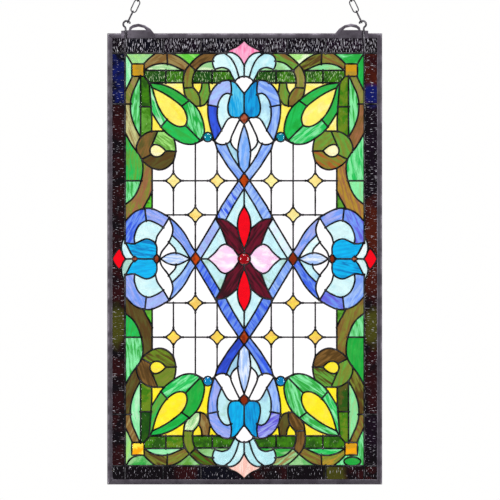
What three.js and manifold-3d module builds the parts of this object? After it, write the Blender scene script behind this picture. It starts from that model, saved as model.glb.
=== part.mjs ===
// A hanging stained glass panel: a zinc-framed leaded light with a fleur-de-lis in each half,
// leaf-and-vine corners, a clear lattice and a red flower at its heart, hung by two short
// chains from open wire hooks. Millimetres. X runs to the right, Z up, and the front faces -Y.
// The origin is midway between the two end rings of the chains, where the panel hangs.

import * as THREE from "three";
import { mergeVertices } from "three/addons/utils/BufferGeometryUtils.js";
import Module from "manifold-3d";

// ---------------------------------------------------------------- driving dimensions

const PANEL_WIDTH = 508;
const PANEL_HEIGHT = 833;
const GAP = 0.3;                // clearance between touching pieces

const RAIL_FACE = 9.5;          // width of the zinc channel seen from the front
const RAIL_WEB = 2.7;           // metal at the outer edge, behind the groove
const RAIL_CROWN = 3.6;         // half of the channel's depth, at the crown of its faces
const RAIL_LIP = 2.9;           // half of its depth at the edges of its faces
const GLASS_THICKNESS = 3;
const SEAM_WIDTH = 3.6;         // soldered seam, face on
const SEAM_THICKNESS = 5.2;     // soldered seam, front to back
const BORDER_X = 221;           // inner line of the dark border, from the centre
const BORDER_Y = 380;
const CURVE_STEPS = 6;          // samples between two points of a curve
const CURVE_TOLERANCE = 3.2;    // how far a facet may stray from its curve

const PLATE_THICKNESS = 1.2;    // pierced hanger plate soldered to the top rail
const HOOK_WIRE = 3.6;          // diameter of the hook's wire
const CURL_X = 217.5;           // centre of the hook's open curl, from the panel's centre
const CURL_Z = 432.5;
const CURL_RADIUS = 6.4;        // to the middle of the wire
const LINK_WIRE = 2.2;
const LINK_WIDTH = 12.5;        // outer width of a chain link
const LINK_LENGTH = 26.5;       // outer length
const LINKS = 3;
const CHAIN_LEAN = THREE.MathUtils.degToRad(25.5);   // both chains lean inwards
const RING_WIRE = 3;
const RING_RADIUS = 10;         // to the middle of the wire

const wasm = await Module();
wasm.setup();

// ---------------------------------------------------------------- drawing in the panel's plane
// The pattern is drawn in one quarter of the panel: x and y are distances from its centre.

const line = (...points) => points.map(([x, y]) => new THREE.Vector2(x, y));

function distanceToSegment(point, start, end) {
  const along = end.clone().sub(start);
  const length = along.lengthSq();
  const share = length === 0 ? 0 : point.clone().sub(start).dot(along) / length;
  const nearest = start.clone().addScaledVector(along, Math.min(1, Math.max(0, share)));
  return nearest.distanceTo(point);
}

// Drops the samples that lie nearly on the straight line between their neighbours.
function thinOut(points) {
  const start = points[0];
  const end = points[points.length - 1];
  const strays = points.map((point) => distanceToSegment(point, start, end));
  const worst = Math.max(...strays);
  if (worst <= CURVE_TOLERANCE) return [start, end];
  const split = strays.indexOf(worst);
  const head = thinOut(points.slice(0, split + 1));
  return head.slice(0, -1).concat(thinOut(points.slice(split)));
}

function curve(...points) {
  const corners = points.map(([x, y]) => new THREE.Vector3(x, y, 0));
  const spline = new THREE.CatmullRomCurve3(corners, false, "centripetal");
  const samples = spline.getPoints(CURVE_STEPS * (points.length - 1));
  return thinOut(samples.map((sample) => new THREE.Vector2(sample.x, sample.y)));
}

function circle(x, y, radius, sides) {
  const turns = Array.from({ length: sides }, (_, side) => (2 * Math.PI * side) / sides);
  return turns.map((turn) => new THREE.Vector2(x + radius * Math.cos(turn), y + radius * Math.sin(turn)));
}

const diamond = (x, y, halfWidth, halfHeight) =>
  line([x + halfWidth, y], [x, y + halfHeight], [x - halfWidth, y], [x, y - halfHeight]);

// A seam is drawn once and repeated in all four quarters. A wall parts two glass nodes all
// the way through; a bead is soldered over a cut inside a node, on its face. The many finer
// cuts inside the nodes are surface detail and are not modelled as solids.
const seams = [];
const wall = (path, closed = false) => seams.push({ path, closed, through: true });
const bead = (path, closed = false) => seams.push({ path, closed, through: false });
const CLOSED = true;

// ---------------------------------------------------------------- the seams of one quarter

function borderSeams() {
  wall(line([BORDER_X, BORDER_Y], [BORDER_X, 30]));
  wall(line([33, BORDER_Y], [BORDER_X, BORDER_Y]));
  bead(line([BORDER_X, BORDER_Y], [BORDER_X, 409]));
  bead(line([BORDER_X, BORDER_Y], [246, BORDER_Y]));
}

function cornerSeams() {
  wall(line([208.5, 360.2], [185.5, 360.2], [185.5, 337.2], [208.5, 337.2]), CLOSED);
  // the first arch of the scroll
  wall(curve([185.5, 361], [176, 370.5], [164, 380]));
}

function barSeams() {
  wall(line([185.5, 348.2], [111, 347.7]));
  wall(line([192, 337.2], [192, 225]));
  wall(curve([176, 325.3], [174, 300], [172, 272], [171, 252], [171.5, 236]));
}

function scrollSeams() {
  wall(curve([111, 347.7], [113, 328], [112, 316], [110, 304], [107, 298]));
}

function leafSeams() {
  wall(curve([175, 325.3], [152, 322], [126, 310.8], [104, 294.5], [86.5, 277.5], [76, 254],
    [74.5, 230], [88, 213.8], [110, 212.5], [132, 223.5], [150.5, 239], [171.3, 270]));
}

function curlSeams() {
  wall(curve([171.3, 236], [181, 232.5], [192, 225]));
  wall(curve([130, 221.5], [127.5, 212], [126.5, 200], [128, 190], [131, 179.5]));
  wall(curve([131, 179.5], [141, 170], [150, 165.5], [159, 164.7], [170.5, 167.5]));
}

// The lattice is one field here: its fine lines are laid on it as surface detail.
function latticeSeams() {
  wall(line([170.5, 167.5], [170.5, 93]));
}

function fleurSeams() {
  // crown of plumes
  wall(curve([34, 380], [44, 379.3], [52, 376.5], [57, 370.5], [58.5, 363], [57, 355.5], [54.5, 350]));
  wall(curve([54.5, 350], [48, 352], [41, 353.5], [34, 352], [28, 348.5], [22.5, 338.5], [17, 328.5]));
  wall(curve([34, 380], [27, 381.3], [20, 380], [13, 376], [7.5, 370.5], [3.5, 364], [0, 357]));
  wall(curve([0, 404], [7, 397], [15, 391.5], [23, 388], [30, 384], [34, 380]));
  wall(line([0, 404], [0, 416]));
  // blue arch and what it shelters
  wall(curve([17, 328.5], [25, 329.8], [33, 329.8], [41, 328], [49, 323.5], [56, 316], [61, 308.5],
    [64.5, 300], [67, 284], [66.5, 264], [62.5, 243], [55, 217.5]));
  // white petals, the blue one between them, and the bands that cross below
  wall(curve([55, 217.5], [52.5, 211], [50.5, 203]));
  wall(line([50.5, 203], [30, 170.5], [10, 144.5]));
  // teal drop between leaf and arch
  wall(circle(67.3, 225, 8.6, 10), CLOSED);
  wall(line([88, 213.8], [75, 220.5]));
  wall(line([60, 220.5], [55, 217.5]));
}

function sideFlowerSeams() {
  wall(curve([221, 69], [206, 84.5], [195, 90.5], [183, 93.3], [171, 92.8], [149, 82.8], [131, 70.3],
    [112, 49.5], [97, 23.5], [90, 13]));
  wall(curve([221.5, 41], [226, 31], [227.7, 20], [225.5, 9], [220, 0]));
  wall(curve([245, 0], [240, 9.5], [231.5, 19], [227, 13.5]));
  wall(line([245, 0], [254, 0]));
}

function centreSeams() {
  // blue bands of the large diamond
  wall(line([10, 144.5], [28, 118.5], [42, 97], [53, 75]));
  wall(line([53, 75], [90, 13]));
  // red, maroon and pink petals round the nugget
  wall(curve([0, 98], [9.5, 80], [12.2, 66], [12, 55]));
  wall(curve([53, 75], [34, 71.5], [12, 55]));
  wall(curve([53, 75], [42, 54.5], [31.5, 27]));
  wall(curve([67, 0], [54, 11.5], [43, 24], [35.5, 27], [31.5, 26.8]));
  bead(curve([31.5, 26.8], [20, 18.5], [7, 8]));
  wall(circle(0, 0, 11.3, 12), CLOSED);
}

// ---------------------------------------------------------------- from lines to solids

const QUARTERS = [
  { name: "top_left", side: -1, half: 1 },
  { name: "top_right", side: 1, half: 1 },
  { name: "bottom_left", side: -1, half: -1 },
  { name: "bottom_right", side: 1, half: -1 },
];

// The leaded pattern was laid out by hand: it sits a little left of the frame's middle,
// and its lower half is a little taller than its upper half.
const PATTERN_DRIFT = 1;
const LOWER_GROWTH = 2.4;

function placed(point, side, half) {
  const outward = point.x / BORDER_X;
  const upward = point.y / BORDER_Y;
  const drift = outward < 1 ? PATTERN_DRIFT * (1 - outward * outward) : 0;
  const growth = half < 0 ? LOWER_GROWTH * upward * upward : 0;
  return new THREE.Vector2(side * point.x - drift, half * (point.y + growth));
}

const END_INSET = 0.7;          // a seam's end stops this far inside the edge of the seam it meets
const GRID = 0.02;              // outlines are drawn on a fine grid, so that shared corners agree

const snapped = ({ x, y }) => new THREE.Vector2(Math.round(x / GRID) * GRID, Math.round(y / GRID) * GRID);

function lapped(path, lap) {
  const last = path.length - 1;
  const start = path[0].clone().sub(path[1]).setLength(lap).add(path[0]);
  const end = path[last].clone().sub(path[last - 1]).setLength(lap).add(path[last]);
  return [start, ...path.slice(1, last), end];
}

const area = (outline) => THREE.ShapeUtils.area(outline);

// The outline of a band of even width along a path.
function band(route, halfWidth, closed) {
  const path = closed ? route : lapped(route, halfWidth - END_INSET);
  const count = path.length;
  const left = [];
  const right = [];
  path.forEach((point, index) => {
    const before = path[closed ? (index + count - 1) % count : Math.max(index - 1, 0)];
    const after = path[closed ? (index + 1) % count : Math.min(index + 1, count - 1)];
    const arriving = point.clone().sub(before).normalize();
    const leaving = after.clone().sub(point).normalize();
    const along = arriving.clone().add(leaving).normalize();
    const across = new THREE.Vector2(-along.y, along.x);
    const bend = Math.max(0.5, Math.abs(along.dot(arriving.lengthSq() > 0 ? arriving : leaving)));
    left.push(snapped(point.clone().addScaledVector(across, halfWidth / bend)));
    right.push(snapped(point.clone().addScaledVector(across, -halfWidth / bend)));
  });
  if (!closed) return [left.concat(right.reverse())];
  const [outer, hole] = Math.abs(area(left)) > Math.abs(area(right)) ? [left, right] : [right, left];
  return [outer, hole.reverse()];
}

function toSolid(geometry) {
  geometry.deleteAttribute("normal");
  geometry.deleteAttribute("uv");
  const merged = mergeVertices(geometry, 1e-4);
  return new wasm.Manifold(new wasm.Mesh({
    numProp: 3,
    vertProperties: merged.attributes.position.array,
    triVerts: new Uint32Array(merged.index.array),
  }));
}

// An outline drawn in the panel's plane, given thickness from front to back.
function plate(outline, front, back) {
  const [outer, ...holes] = outline;
  const shape = new THREE.Shape(outer);
  holes.forEach((hole) => shape.holes.push(new THREE.Path(hole)));
  const geometry = new THREE.ExtrudeGeometry(shape, { depth: back - front, bevelEnabled: false });
  geometry.rotateX(Math.PI / 2);
  geometry.translate(0, back, 0);
  return toSolid(geometry);
}

function block(halfWidth, halfHeight, front, back) {
  const box = new THREE.BoxGeometry(2 * halfWidth, back - front, 2 * halfHeight);
  box.translate(0, (front + back) / 2, 0);
  return toSolid(box);
}

const unite = (solids) => solids.reduce((whole, solid) => whole.add(solid));

function seamSolids(chosen, halfWidth, front, back) {
  return QUARTERS.flatMap(({ side, half }) => chosen.map(({ path, closed }) => {
    const laid = path.map((point) => placed(point, side, half));
    return plate(band(laid, halfWidth, closed), front, back);
  }));
}

borderSeams();
cornerSeams();
barSeams();
scrollSeams();
leafSeams();
curlSeams();
latticeSeams();
fleurSeams();
sideFlowerSeams();
centreSeams();

const walls = seams.filter((seam) => seam.through);
const beads = seams.filter((seam) => !seam.through);
const HALF_SEAM = SEAM_WIDTH / 2;
const SEAM_FRONT = -SEAM_THICKNESS / 2;
const SEAM_BACK = SEAM_THICKNESS / 2;
const GLASS_FRONT = -GLASS_THICKNESS / 2;
const GLASS_BACK = GLASS_THICKNESS / 2;
const HALF_WIDTH = PANEL_WIDTH / 2;
const HALF_HEIGHT = PANEL_HEIGHT / 2;
const BEYOND = 1;               // how far a cutting solid runs past what it cuts

const WELD = 0.01;              // corners closer than this are one corner

function toMesh(name, solid, material) {
  const { vertProperties, triVerts } = solid.getMesh();
  const cut = new THREE.BufferGeometry();
  cut.setAttribute("position", new THREE.BufferAttribute(vertProperties, 3));
  cut.setIndex(new THREE.BufferAttribute(triVerts, 1));
  const welded = mergeVertices(cut, WELD);
  const corners = Array.from(welded.index.array);
  const faces = [];
  for (let first = 0; first < corners.length; first += 3) {
    const face = corners.slice(first, first + 3);
    if (new Set(face).size === 3) faces.push(...face);
  }
  welded.setIndex(faces);
  return named(name, welded, material);
}

function named(name, geometry, material) {
  const mesh = new THREE.Mesh(geometry, material);
  mesh.name = name;
  return mesh;
}

const metal = (color, roughness) => new THREE.MeshStandardMaterial({ color, roughness, metalness: 0.9 });
const stainedGlass = (color) => new THREE.MeshStandardMaterial({ color, roughness: 0.15, metalness: 0 });

const SOLDER = metal("#26242a", 0.45);
const ZINC = metal("#4a474e", 0.5);
const STEEL = metal("#56525a", 0.4);

// ---------------------------------------------------------------- solder

function solderNet() {
  const through = seamSolids(walls, HALF_SEAM, SEAM_FRONT, SEAM_BACK);
  const raised = seamSolids(beads, HALF_SEAM, SEAM_FRONT, GLASS_FRONT - GAP);
  const sightX = HALF_WIDTH - RAIL_FACE - GAP;
  const sightY = HALF_HEIGHT - RAIL_FACE - GAP;
  const sight = block(sightX, sightY, SEAM_FRONT - BEYOND, SEAM_BACK + BEYOND);
  return unite(through.concat(raised)).intersect(sight);
}

// ---------------------------------------------------------------- glass
// Each glass node is found by a point that lies inside it, given in the same quarter.

const QUARTER_GLASS = [
  { name: "border_glass", inside: [235, 200], color: "#2a2236" },
  { name: "vine_glass", inside: [200, 280], color: "#8a8c3c" },
  { name: "corner_jewel", inside: [197, 348], color: "#d09a28" },
  { name: "scroll_glass", inside: [150, 370], color: "#c9b44e" },
  { name: "bar_glass", inside: [150, 337], color: "#35601f" },
  { name: "leaf_glass", inside: [130, 270], color: "#4cb85a" },
  { name: "lattice_glass", inside: [110, 120], color: "#f4f6f4" },
  { name: "rondelle", inside: [67.3, 225], color: "#0a96aa" },
];

const HALF_GLASS = [
  { name: "fleur_glass", inside: [0, 320], color: "#7fc4f0" },
  { name: "diamond_tip", inside: [0, 390], color: "#fa96be" },
];

const SIDE_GLASS = [
  { name: "side_flower_glass", inside: [185, 50], color: "#9fd8f2" },
  { name: "side_diamond", inside: [235, 0], color: "#d8102e" },
];

const CENTRE_GLASS = [
  { name: "centre_flower_glass", inside: [0, 60], color: "#d02a50" },
  { name: "centre_nugget", inside: [0, 0], color: "#8c0014" },
];

function glassRegions() {
  const edge = GAP + RAIL_WEB;
  const sheet = block(HALF_WIDTH - edge, HALF_HEIGHT - edge, GLASS_FRONT, GLASS_BACK);
  const cuts = seamSolids(walls, HALF_SEAM + GAP, GLASS_FRONT - BEYOND, GLASS_BACK + BEYOND);
  return sheet.subtract(unite(cuts)).decompose();
}

// Whether a point of the panel's plane lies on the front face of a solid.
function covers(solid, point) {
  const { vertProperties, triVerts } = solid.getMesh();
  const corner = (index) => new THREE.Vector3().fromArray(vertProperties, 3 * index);
  const probe = new THREE.Vector3(point.x, GLASS_FRONT, point.y);
  for (let first = 0; first < triVerts.length; first += 3) {
    const corners = [corner(triVerts[first]), corner(triVerts[first + 1]), corner(triVerts[first + 2])];
    const onFront = corners.every(({ y }) => Math.abs(y - GLASS_FRONT) < 1e-3);
    if (onFront && new THREE.Triangle(...corners).containsPoint(probe)) return true;
  }
  return false;
}

// A cut top standing on the face of a piece of glass.
function jewelTop(x, z, sides, baseRadius, topRadius, height, turn) {
  const sunk = 0.4;
  const cone = new THREE.CylinderGeometry(topRadius, baseRadius, height + sunk, sides);
  cone.rotateY(turn);
  cone.rotateX(Math.PI / 2);
  cone.translate(x, GLASS_FRONT + sunk - (height + sunk) / 2, z);
  return toSolid(cone);
}

const JEWEL_TOPS = {
  corner_jewel: { sides: 4, base: 12, top: 7, height: 2.2, turn: Math.PI / 4 },
  rondelle: { sides: 8, base: 5.8, top: 3, height: 1.6, turn: 0 },
  centre_nugget: { sides: 8, base: 8.2, top: 4.4, height: 3, turn: 0 },
};

function glassMesh({ name, inside, color }, suffix, side, half, regions) {
  const point = placed(new THREE.Vector2(...inside), side, half);
  let solid = regions.find((region) => covers(region, point));
  const top = JEWEL_TOPS[name];
  if (top) {
    const { min, max } = solid.boundingBox();
    const middleX = (min[0] + max[0]) / 2;
    const middleZ = (min[2] + max[2]) / 2;
    solid = solid.add(jewelTop(middleX, middleZ, top.sides, top.base, top.top, top.height, top.turn));
  }
  return toMesh(suffix ? `${name}_${suffix}` : name, solid, stainedGlass(color));
}

function glassMeshes() {
  const regions = glassRegions();
  const quarters = QUARTERS.flatMap(({ name, side, half }) =>
    QUARTER_GLASS.map((piece) => glassMesh(piece, name, side, half, regions)));
  const halves = HALF_GLASS.flatMap((piece) => [
    glassMesh(piece, "top", 1, 1, regions),
    glassMesh(piece, "bottom", 1, -1, regions),
  ]);
  const sides = SIDE_GLASS.flatMap((piece) => [
    glassMesh(piece, "left", -1, 1, regions),
    glassMesh(piece, "right", 1, 1, regions),
  ]);
  const centre = CENTRE_GLASS.map((piece) => glassMesh(piece, "", 1, 1, regions));
  return [...quarters, ...halves, ...sides, ...centre];
}

// ---------------------------------------------------------------- zinc channel frame

// Half of the channel's section, from its outer edge inwards: distance and height above the middle.
const RAIL_HALF_SECTION = [
  [0, RAIL_LIP],
  [0.13 * RAIL_FACE, 0.92 * RAIL_CROWN],
  [0.5 * RAIL_FACE, RAIL_CROWN],
  [0.87 * RAIL_FACE, 0.92 * RAIL_CROWN],
  [RAIL_FACE, RAIL_LIP],
  [RAIL_FACE, GLASS_BACK + GAP],
  [RAIL_WEB, GLASS_BACK + GAP],
];

// A rail along X whose outer edge is at the given height, mitred at both ends.
function railSolid(halfLength, outerEdge) {
  const back = RAIL_HALF_SECTION.map(([inward, y]) => new THREE.Vector2(outerEdge - inward, y));
  const front = RAIL_HALF_SECTION.map(([inward, y]) => new THREE.Vector2(outerEdge - inward, -y));
  const section = new THREE.Shape([...back, ...front.reverse()]);
  const bar = new THREE.ExtrudeGeometry(section, { depth: 2 * halfLength, bevelEnabled: false });
  bar.rotateY(-Math.PI / 2);
  bar.translate(halfLength, 0, 0);
  const outerReach = halfLength - GAP + BEYOND;
  const innerReach = halfLength - GAP - RAIL_FACE - BEYOND;
  const mitred = line([-outerReach, outerEdge + BEYOND], [outerReach, outerEdge + BEYOND],
    [innerReach, outerEdge - RAIL_FACE - BEYOND], [-innerReach, outerEdge - RAIL_FACE - BEYOND]);
  return toSolid(bar).intersect(plate([mitred], -RAIL_CROWN - BEYOND, RAIL_CROWN + BEYOND));
}

function railMeshes() {
  const rails = [
    { name: "rail_top", halfLength: HALF_WIDTH, outerEdge: HALF_HEIGHT, turn: 0 },
    { name: "rail_right", halfLength: HALF_HEIGHT, outerEdge: HALF_WIDTH, turn: Math.PI / 2 },
    { name: "rail_bottom", halfLength: HALF_WIDTH, outerEdge: HALF_HEIGHT, turn: Math.PI },
    { name: "rail_left", halfLength: HALF_HEIGHT, outerEdge: HALF_WIDTH, turn: -Math.PI / 2 },
  ];
  return rails.map(({ name, halfLength, outerEdge, turn }) => {
    const mesh = toMesh(name, railSolid(halfLength, outerEdge), ZINC);
    mesh.rotation.y = turn;
    return mesh;
  });
}

// ---------------------------------------------------------------- hanging hardware
// Drawn for both sides at once: x is the distance outwards from the panel's centre line.

const PLATE_BACK = -RAIL_CROWN - GAP;
const PLATE_FRONT = PLATE_BACK - PLATE_THICKNESS;
const CURL_Y = PLATE_FRONT - GAP - HOOK_WIRE / 2;     // the hook runs down over the plate
const FOOT_Y = SEAM_FRONT - GAP - HOOK_WIRE / 2;      // and ends on the corner of the border
const CHAIN_UP = new THREE.Vector2(-Math.sin(CHAIN_LEAN), Math.cos(CHAIN_LEAN));
const LINK_REACH = LINK_LENGTH - LINK_WIRE;           // between the middles of the end wires

function hangerPlate(name, side) {
  const outline = line([228, 407], [228, 421], [214, 422], [212.5, 427.5], [206, 432], [196, 434],
    [184, 431], [174, 424.5], [167, 416], [166, 407]);
  const opening = line([210, 422.3], [206.5, 426], [196, 428.5], [186, 426.3], [182, 422.3]);
  const onItsSide = (path) => path.map(({ x, y }) => new THREE.Vector2(side * x, y));
  const laid = [onItsSide(outline), onItsSide(opening.reverse())];
  return toMesh(`hanger_plate_${name}`, plate(laid, PLATE_FRONT, PLATE_BACK), ZINC);
}

function hookWire(name, side) {
  const curl = [-65, -20, 25, 70, 115, 150].map((degrees) => {
    const angle = THREE.MathUtils.degToRad(degrees);
    return [CURL_X + CURL_RADIUS * Math.cos(angle), CURL_Y, CURL_Z + CURL_RADIUS * Math.sin(angle)];
  });
  const tail = [CURL_X - 4.8, CURL_Y, CURL_Z + 1.2];
  const shank = [[221, FOOT_Y, BORDER_Y + 2], [221, FOOT_Y, 390], [220.8, CURL_Y + 0.6, 400],
    [220.2, CURL_Y, 408], [219.5, CURL_Y, 418]];
  const points = [...shank, ...curl, tail].map(([x, y, z]) => new THREE.Vector3(side * x, y, z));
  const path = new THREE.CatmullRomCurve3(points);
  const section = new THREE.Shape(circle(0, 0, HOOK_WIRE / 2, 5));
  const swept = { extrudePath: path, steps: 15, bevelEnabled: false };
  return named(`hook_${name}`, new THREE.ExtrudeGeometry(section, swept), STEEL);
}

// A chain link in the XZ plane, longer along Z.
function linkGeometry() {
  const radius = (LINK_WIDTH - LINK_WIRE) / 2;
  const bends = 8;
  const geometry = new THREE.TorusGeometry(radius, LINK_WIRE / 2, 5, bends);
  geometry.rotateZ(Math.PI / bends);
  const widened = 1 / Math.cos(Math.PI / bends);
  geometry.scale(widened, widened, 1);      // so that its flats, not its corners, reach full size
  const straight = LINK_REACH / 2 - radius;
  const position = geometry.attributes.position;
  for (let index = 0; index < position.count; index += 1) {
    const y = position.getY(index);
    position.setY(index, y + Math.sign(y) * straight);
  }
  geometry.rotateX(Math.PI / 2);
  return geometry;
}

const along = (distance) => new THREE.Vector2(CURL_X, CURL_Z).addScaledVector(CHAIN_UP, distance);

// Link after link along the chain's lean, each turned a quarter from the one below it.
function chainMeshes(name, side) {
  const start = CURL_RADIUS - HOOK_WIRE / 2 - LINK_WIRE / 2 - GAP;
  const step = LINK_REACH - LINK_WIRE - GAP;
  const links = Array.from({ length: LINKS }, (_, index) => {
    const middle = along(start + index * step + LINK_REACH / 2);
    const mesh = named(`chain_link_${name}_${index + 1}`, linkGeometry(), STEEL);
    mesh.position.set(side * middle.x, CURL_Y, middle.y);
    mesh.rotation.set(0, -side * CHAIN_LEAN, index % 2 === 0 ? Math.PI / 2 : 0);
    return mesh;
  });
  const ring = named(`end_ring_${name}`, new THREE.TorusGeometry(RING_RADIUS, RING_WIRE / 2, 5, 12), STEEL);
  ring.rotation.x = Math.PI / 2;
  ring.position.set(side * RING_CENTRE.x, CURL_Y, RING_CENTRE.y);
  return [...links, ring];
}

const CHAIN_TOP = CURL_RADIUS - HOOK_WIRE / 2 - LINK_WIRE / 2 - GAP
  + LINKS * LINK_REACH - (LINKS - 1) * (LINK_WIRE + GAP);
const RING_CENTRE = along(CHAIN_TOP - LINK_WIRE / 2 - GAP - RING_WIRE / 2 + RING_RADIUS);

// ---------------------------------------------------------------- the whole panel

const panel = new THREE.Group();
panel.add(toMesh("solder_net", solderNet(), SOLDER));
panel.add(...glassMeshes());
panel.add(...railMeshes());
for (const [name, side] of [["left", -1], ["right", 1]]) {
  panel.add(hangerPlate(name, side), hookWire(name, side), ...chainMeshes(name, side));
}
panel.position.set(0, -CURL_Y, -RING_CENTRE.y);

const hangingPanel = new THREE.Group();
hangingPanel.add(panel);
export default hangingPanel;
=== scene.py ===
"""Looks for a hanging stained glass panel: rolled and wispy glass, dark soldered seams, a zinc
channel and two short chains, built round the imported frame. Metres; the pattern is drawn in
millimetres from the panel's centre, x to the right and y up, in one quarter, and repeated."""

import math

import bmesh
import bpy
from mathutils import Matrix, Vector, geometry, noise
from mathutils.bvhtree import BVHTree
from mathutils.geometry import delaunay_2d_cdt


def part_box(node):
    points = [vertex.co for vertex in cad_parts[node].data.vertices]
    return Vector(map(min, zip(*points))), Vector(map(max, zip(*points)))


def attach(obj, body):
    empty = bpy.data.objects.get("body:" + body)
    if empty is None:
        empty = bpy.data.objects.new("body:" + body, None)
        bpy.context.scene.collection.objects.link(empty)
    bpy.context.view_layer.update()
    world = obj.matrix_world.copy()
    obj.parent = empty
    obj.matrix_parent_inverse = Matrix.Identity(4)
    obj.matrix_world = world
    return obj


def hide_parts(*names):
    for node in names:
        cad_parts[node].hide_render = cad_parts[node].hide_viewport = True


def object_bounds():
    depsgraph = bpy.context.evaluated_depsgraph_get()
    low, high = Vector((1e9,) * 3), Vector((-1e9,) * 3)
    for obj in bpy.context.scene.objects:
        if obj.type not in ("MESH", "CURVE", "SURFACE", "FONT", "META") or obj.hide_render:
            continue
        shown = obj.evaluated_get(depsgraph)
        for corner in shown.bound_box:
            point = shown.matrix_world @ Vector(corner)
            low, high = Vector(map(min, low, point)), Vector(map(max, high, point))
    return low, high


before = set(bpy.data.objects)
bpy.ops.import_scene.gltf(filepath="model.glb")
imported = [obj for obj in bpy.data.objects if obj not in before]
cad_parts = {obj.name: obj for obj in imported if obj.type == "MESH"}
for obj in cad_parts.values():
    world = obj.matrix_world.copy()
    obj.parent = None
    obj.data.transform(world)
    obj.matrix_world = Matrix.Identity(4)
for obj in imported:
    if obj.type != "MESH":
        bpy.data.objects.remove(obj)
cad_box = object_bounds()

MM = 0.001

# ------------------------------------------------------------------ places taken from the frame

top_low, top_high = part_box("rail_top")
bottom_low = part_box("rail_bottom")[0]
PANEL_Y = (top_low[1] + top_high[1]) / 2
PANEL_Z = (top_high[2] + bottom_low[2]) / 2
HALF_WIDTH = (top_high[0] - top_low[0]) / 2 / MM
HALF_HEIGHT = (top_high[2] - bottom_low[2]) / 2 / MM
CENTRE = Vector((0.0, PANEL_Y, PANEL_Z))

GLASS_HALF = 1.5
SEAM_HALF_DEPTH = 2.6
# the border's inner edge, and how far out its seams run, under the channel
BORDER_X = 221
BORDER_Y = 380
RIM_X = 246
RIM_Y = 409


def in_panel(x, up, forwards):
    """A place in metres, from millimetres to the right of, above and in front of the panel's centre."""
    return CENTRE + Vector((x, -forwards, up)) * MM


# ------------------------------------------------------------------ drawing the seams

CURVE_STEPS = 6
seams = []


def line(*points):
    return [Vector(point) for point in points]


def curve(*points):
    """A smooth line through the points (a centripetal Catmull-Rom spline)."""
    knots = [Vector(point) for point in points]
    ends = [2 * knots[0] - knots[1], *knots, 2 * knots[-1] - knots[-2]]
    samples = []
    for before, start, end, after in zip(ends, ends[1:], ends[2:], ends[3:]):
        first, span, last = ((b - a).length ** 0.5 for a, b in ((before, start), (start, end), (end, after)))
        leave = span * ((start - before) / first - (end - before) / (first + span) + (end - start) / span)
        arrive = span * ((end - start) / span - (after - start) / (span + last) + (after - end) / last)
        for step in range(CURVE_STEPS):
            t = step / CURVE_STEPS
            samples.append(
                (2 * t**3 - 3 * t**2 + 1) * start + (t**3 - 2 * t**2 + t) * leave
                + (3 * t**2 - 2 * t**3) * end + (t**3 - t**2) * arrive)
    return samples + [knots[-1]]


def oval(x, y, reach_x, reach_y, sides):
    turns = [2 * math.pi * side / sides for side in range(sides)]
    return [Vector((x + reach_x * math.cos(turn), y + reach_y * math.sin(turn))) for turn in turns]


def circle(x, y, radius, sides):
    return oval(x, y, radius, radius, sides)


def diamond(x, y, half_width, half_height):
    return line((x + half_width, y), (x, y + half_height), (x - half_width, y), (x, y - half_height))


# half the width of a seam
FINE = 1.5
PLAIN = 1.75
BROAD = 2.0

# the gems: the red nugget in the middle, and a teal drop in each quarter
NUGGET = (0, 0)
DROP = (67.3, 225)


def lay(path, half_width=PLAIN, closed=False, quarters=()):
    """Draws one seam, which is repeated in all four quarters, or only in those that are named."""
    seams.append((path, half_width, closed, quarters))


def border_seams():
    lay(line((BORDER_X, BORDER_Y), (BORDER_X, 30)), BROAD)
    lay(line((33, BORDER_Y), (BORDER_X, BORDER_Y)), BROAD)
    lay(line((BORDER_X, BORDER_Y), (BORDER_X, RIM_Y)), BROAD)
    lay(line((BORDER_X, BORDER_Y), (RIM_X, BORDER_Y)), BROAD)
    for x in (80, 150):
        lay(line((x, BORDER_Y), (x, RIM_Y)), BROAD)
    lay(line((BORDER_X, 286), (RIM_X, 286)), BROAD)


def corner_seams():
    # each lower corner has its own shape: a rounded hill on the left and an oval on the right
    lay(curve((221, 380), (214, 370), (208.5, 360.2)), quarters=("top_left", "top_right"))
    lay(curve((219, 380), (213, 369.5), (205, 363.5), (197, 360.8)), quarters=("bottom_left",))
    lay(oval(199, 372, 15.5, 8.3, 16), closed=True, quarters=("bottom_right",))
    lay(line((208.5, 360.2), (185.5, 360.2), (185.5, 337.2), (208.5, 337.2)), closed=True)
    # the first arch of the scroll
    lay(curve((185.5, 361), (176, 370.5), (164, 380)))
    lay(curve((141, 380), (130, 377.5), (118, 371.5), (101, 358.5)))
    lay(curve((184, 349.5), (172, 356.5), (160, 360), (148, 360.7), (136, 358.5), (124, 353.5), (111, 347.5)))
    lay(line((143, 380), (142, 360)))


def bar_seams():
    lay(line((185.5, 348.2), (111, 347.7)))
    lay(line((176, 325.3), (113, 325.3)))
    lay(line((185.5, 337.2), (175.5, 325.5)))
    lay(line((192, 337.2), (192, 225)))
    lay(curve((176, 325.3), (174, 300), (172, 272), (171, 252), (171.5, 236)))
    lay(line((192, 281), (173, 281)))
    lay(line((91, 347.5), (28, 346.7)))
    lay(line((95, 325), (46, 325)))
    lay(line((59, 347.3), (59, 325)))
    lay(line((145, 347.8), (145, 325.3)))


def scroll_seams():
    lay(curve((111, 347.7), (113, 328), (112, 316), (110, 304), (107, 298)))
    lay(curve((75, 380), (84, 374.5), (93, 367), (101, 358.5), (107.5, 350), (111, 341)))
    lay(curve((57.5, 365), (66, 364), (75, 361), (83, 355), (91, 346), (95.5, 332), (94.5, 317)))
    lay(curve((94.5, 317), (85.5, 306), (82, 296), (81.5, 283)))
    lay(curve((78, 325), (79.5, 314), (84, 305)))
    lay(line((65.5, 325), (63.5, 310)))
    lay(line((110.5, 315.5), (95, 316.5)))
    lay(line((101, 358.5), (90, 348)))
    lay(curve((89, 282), (81, 282.3), (73, 285), (67.5, 292)))


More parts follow.
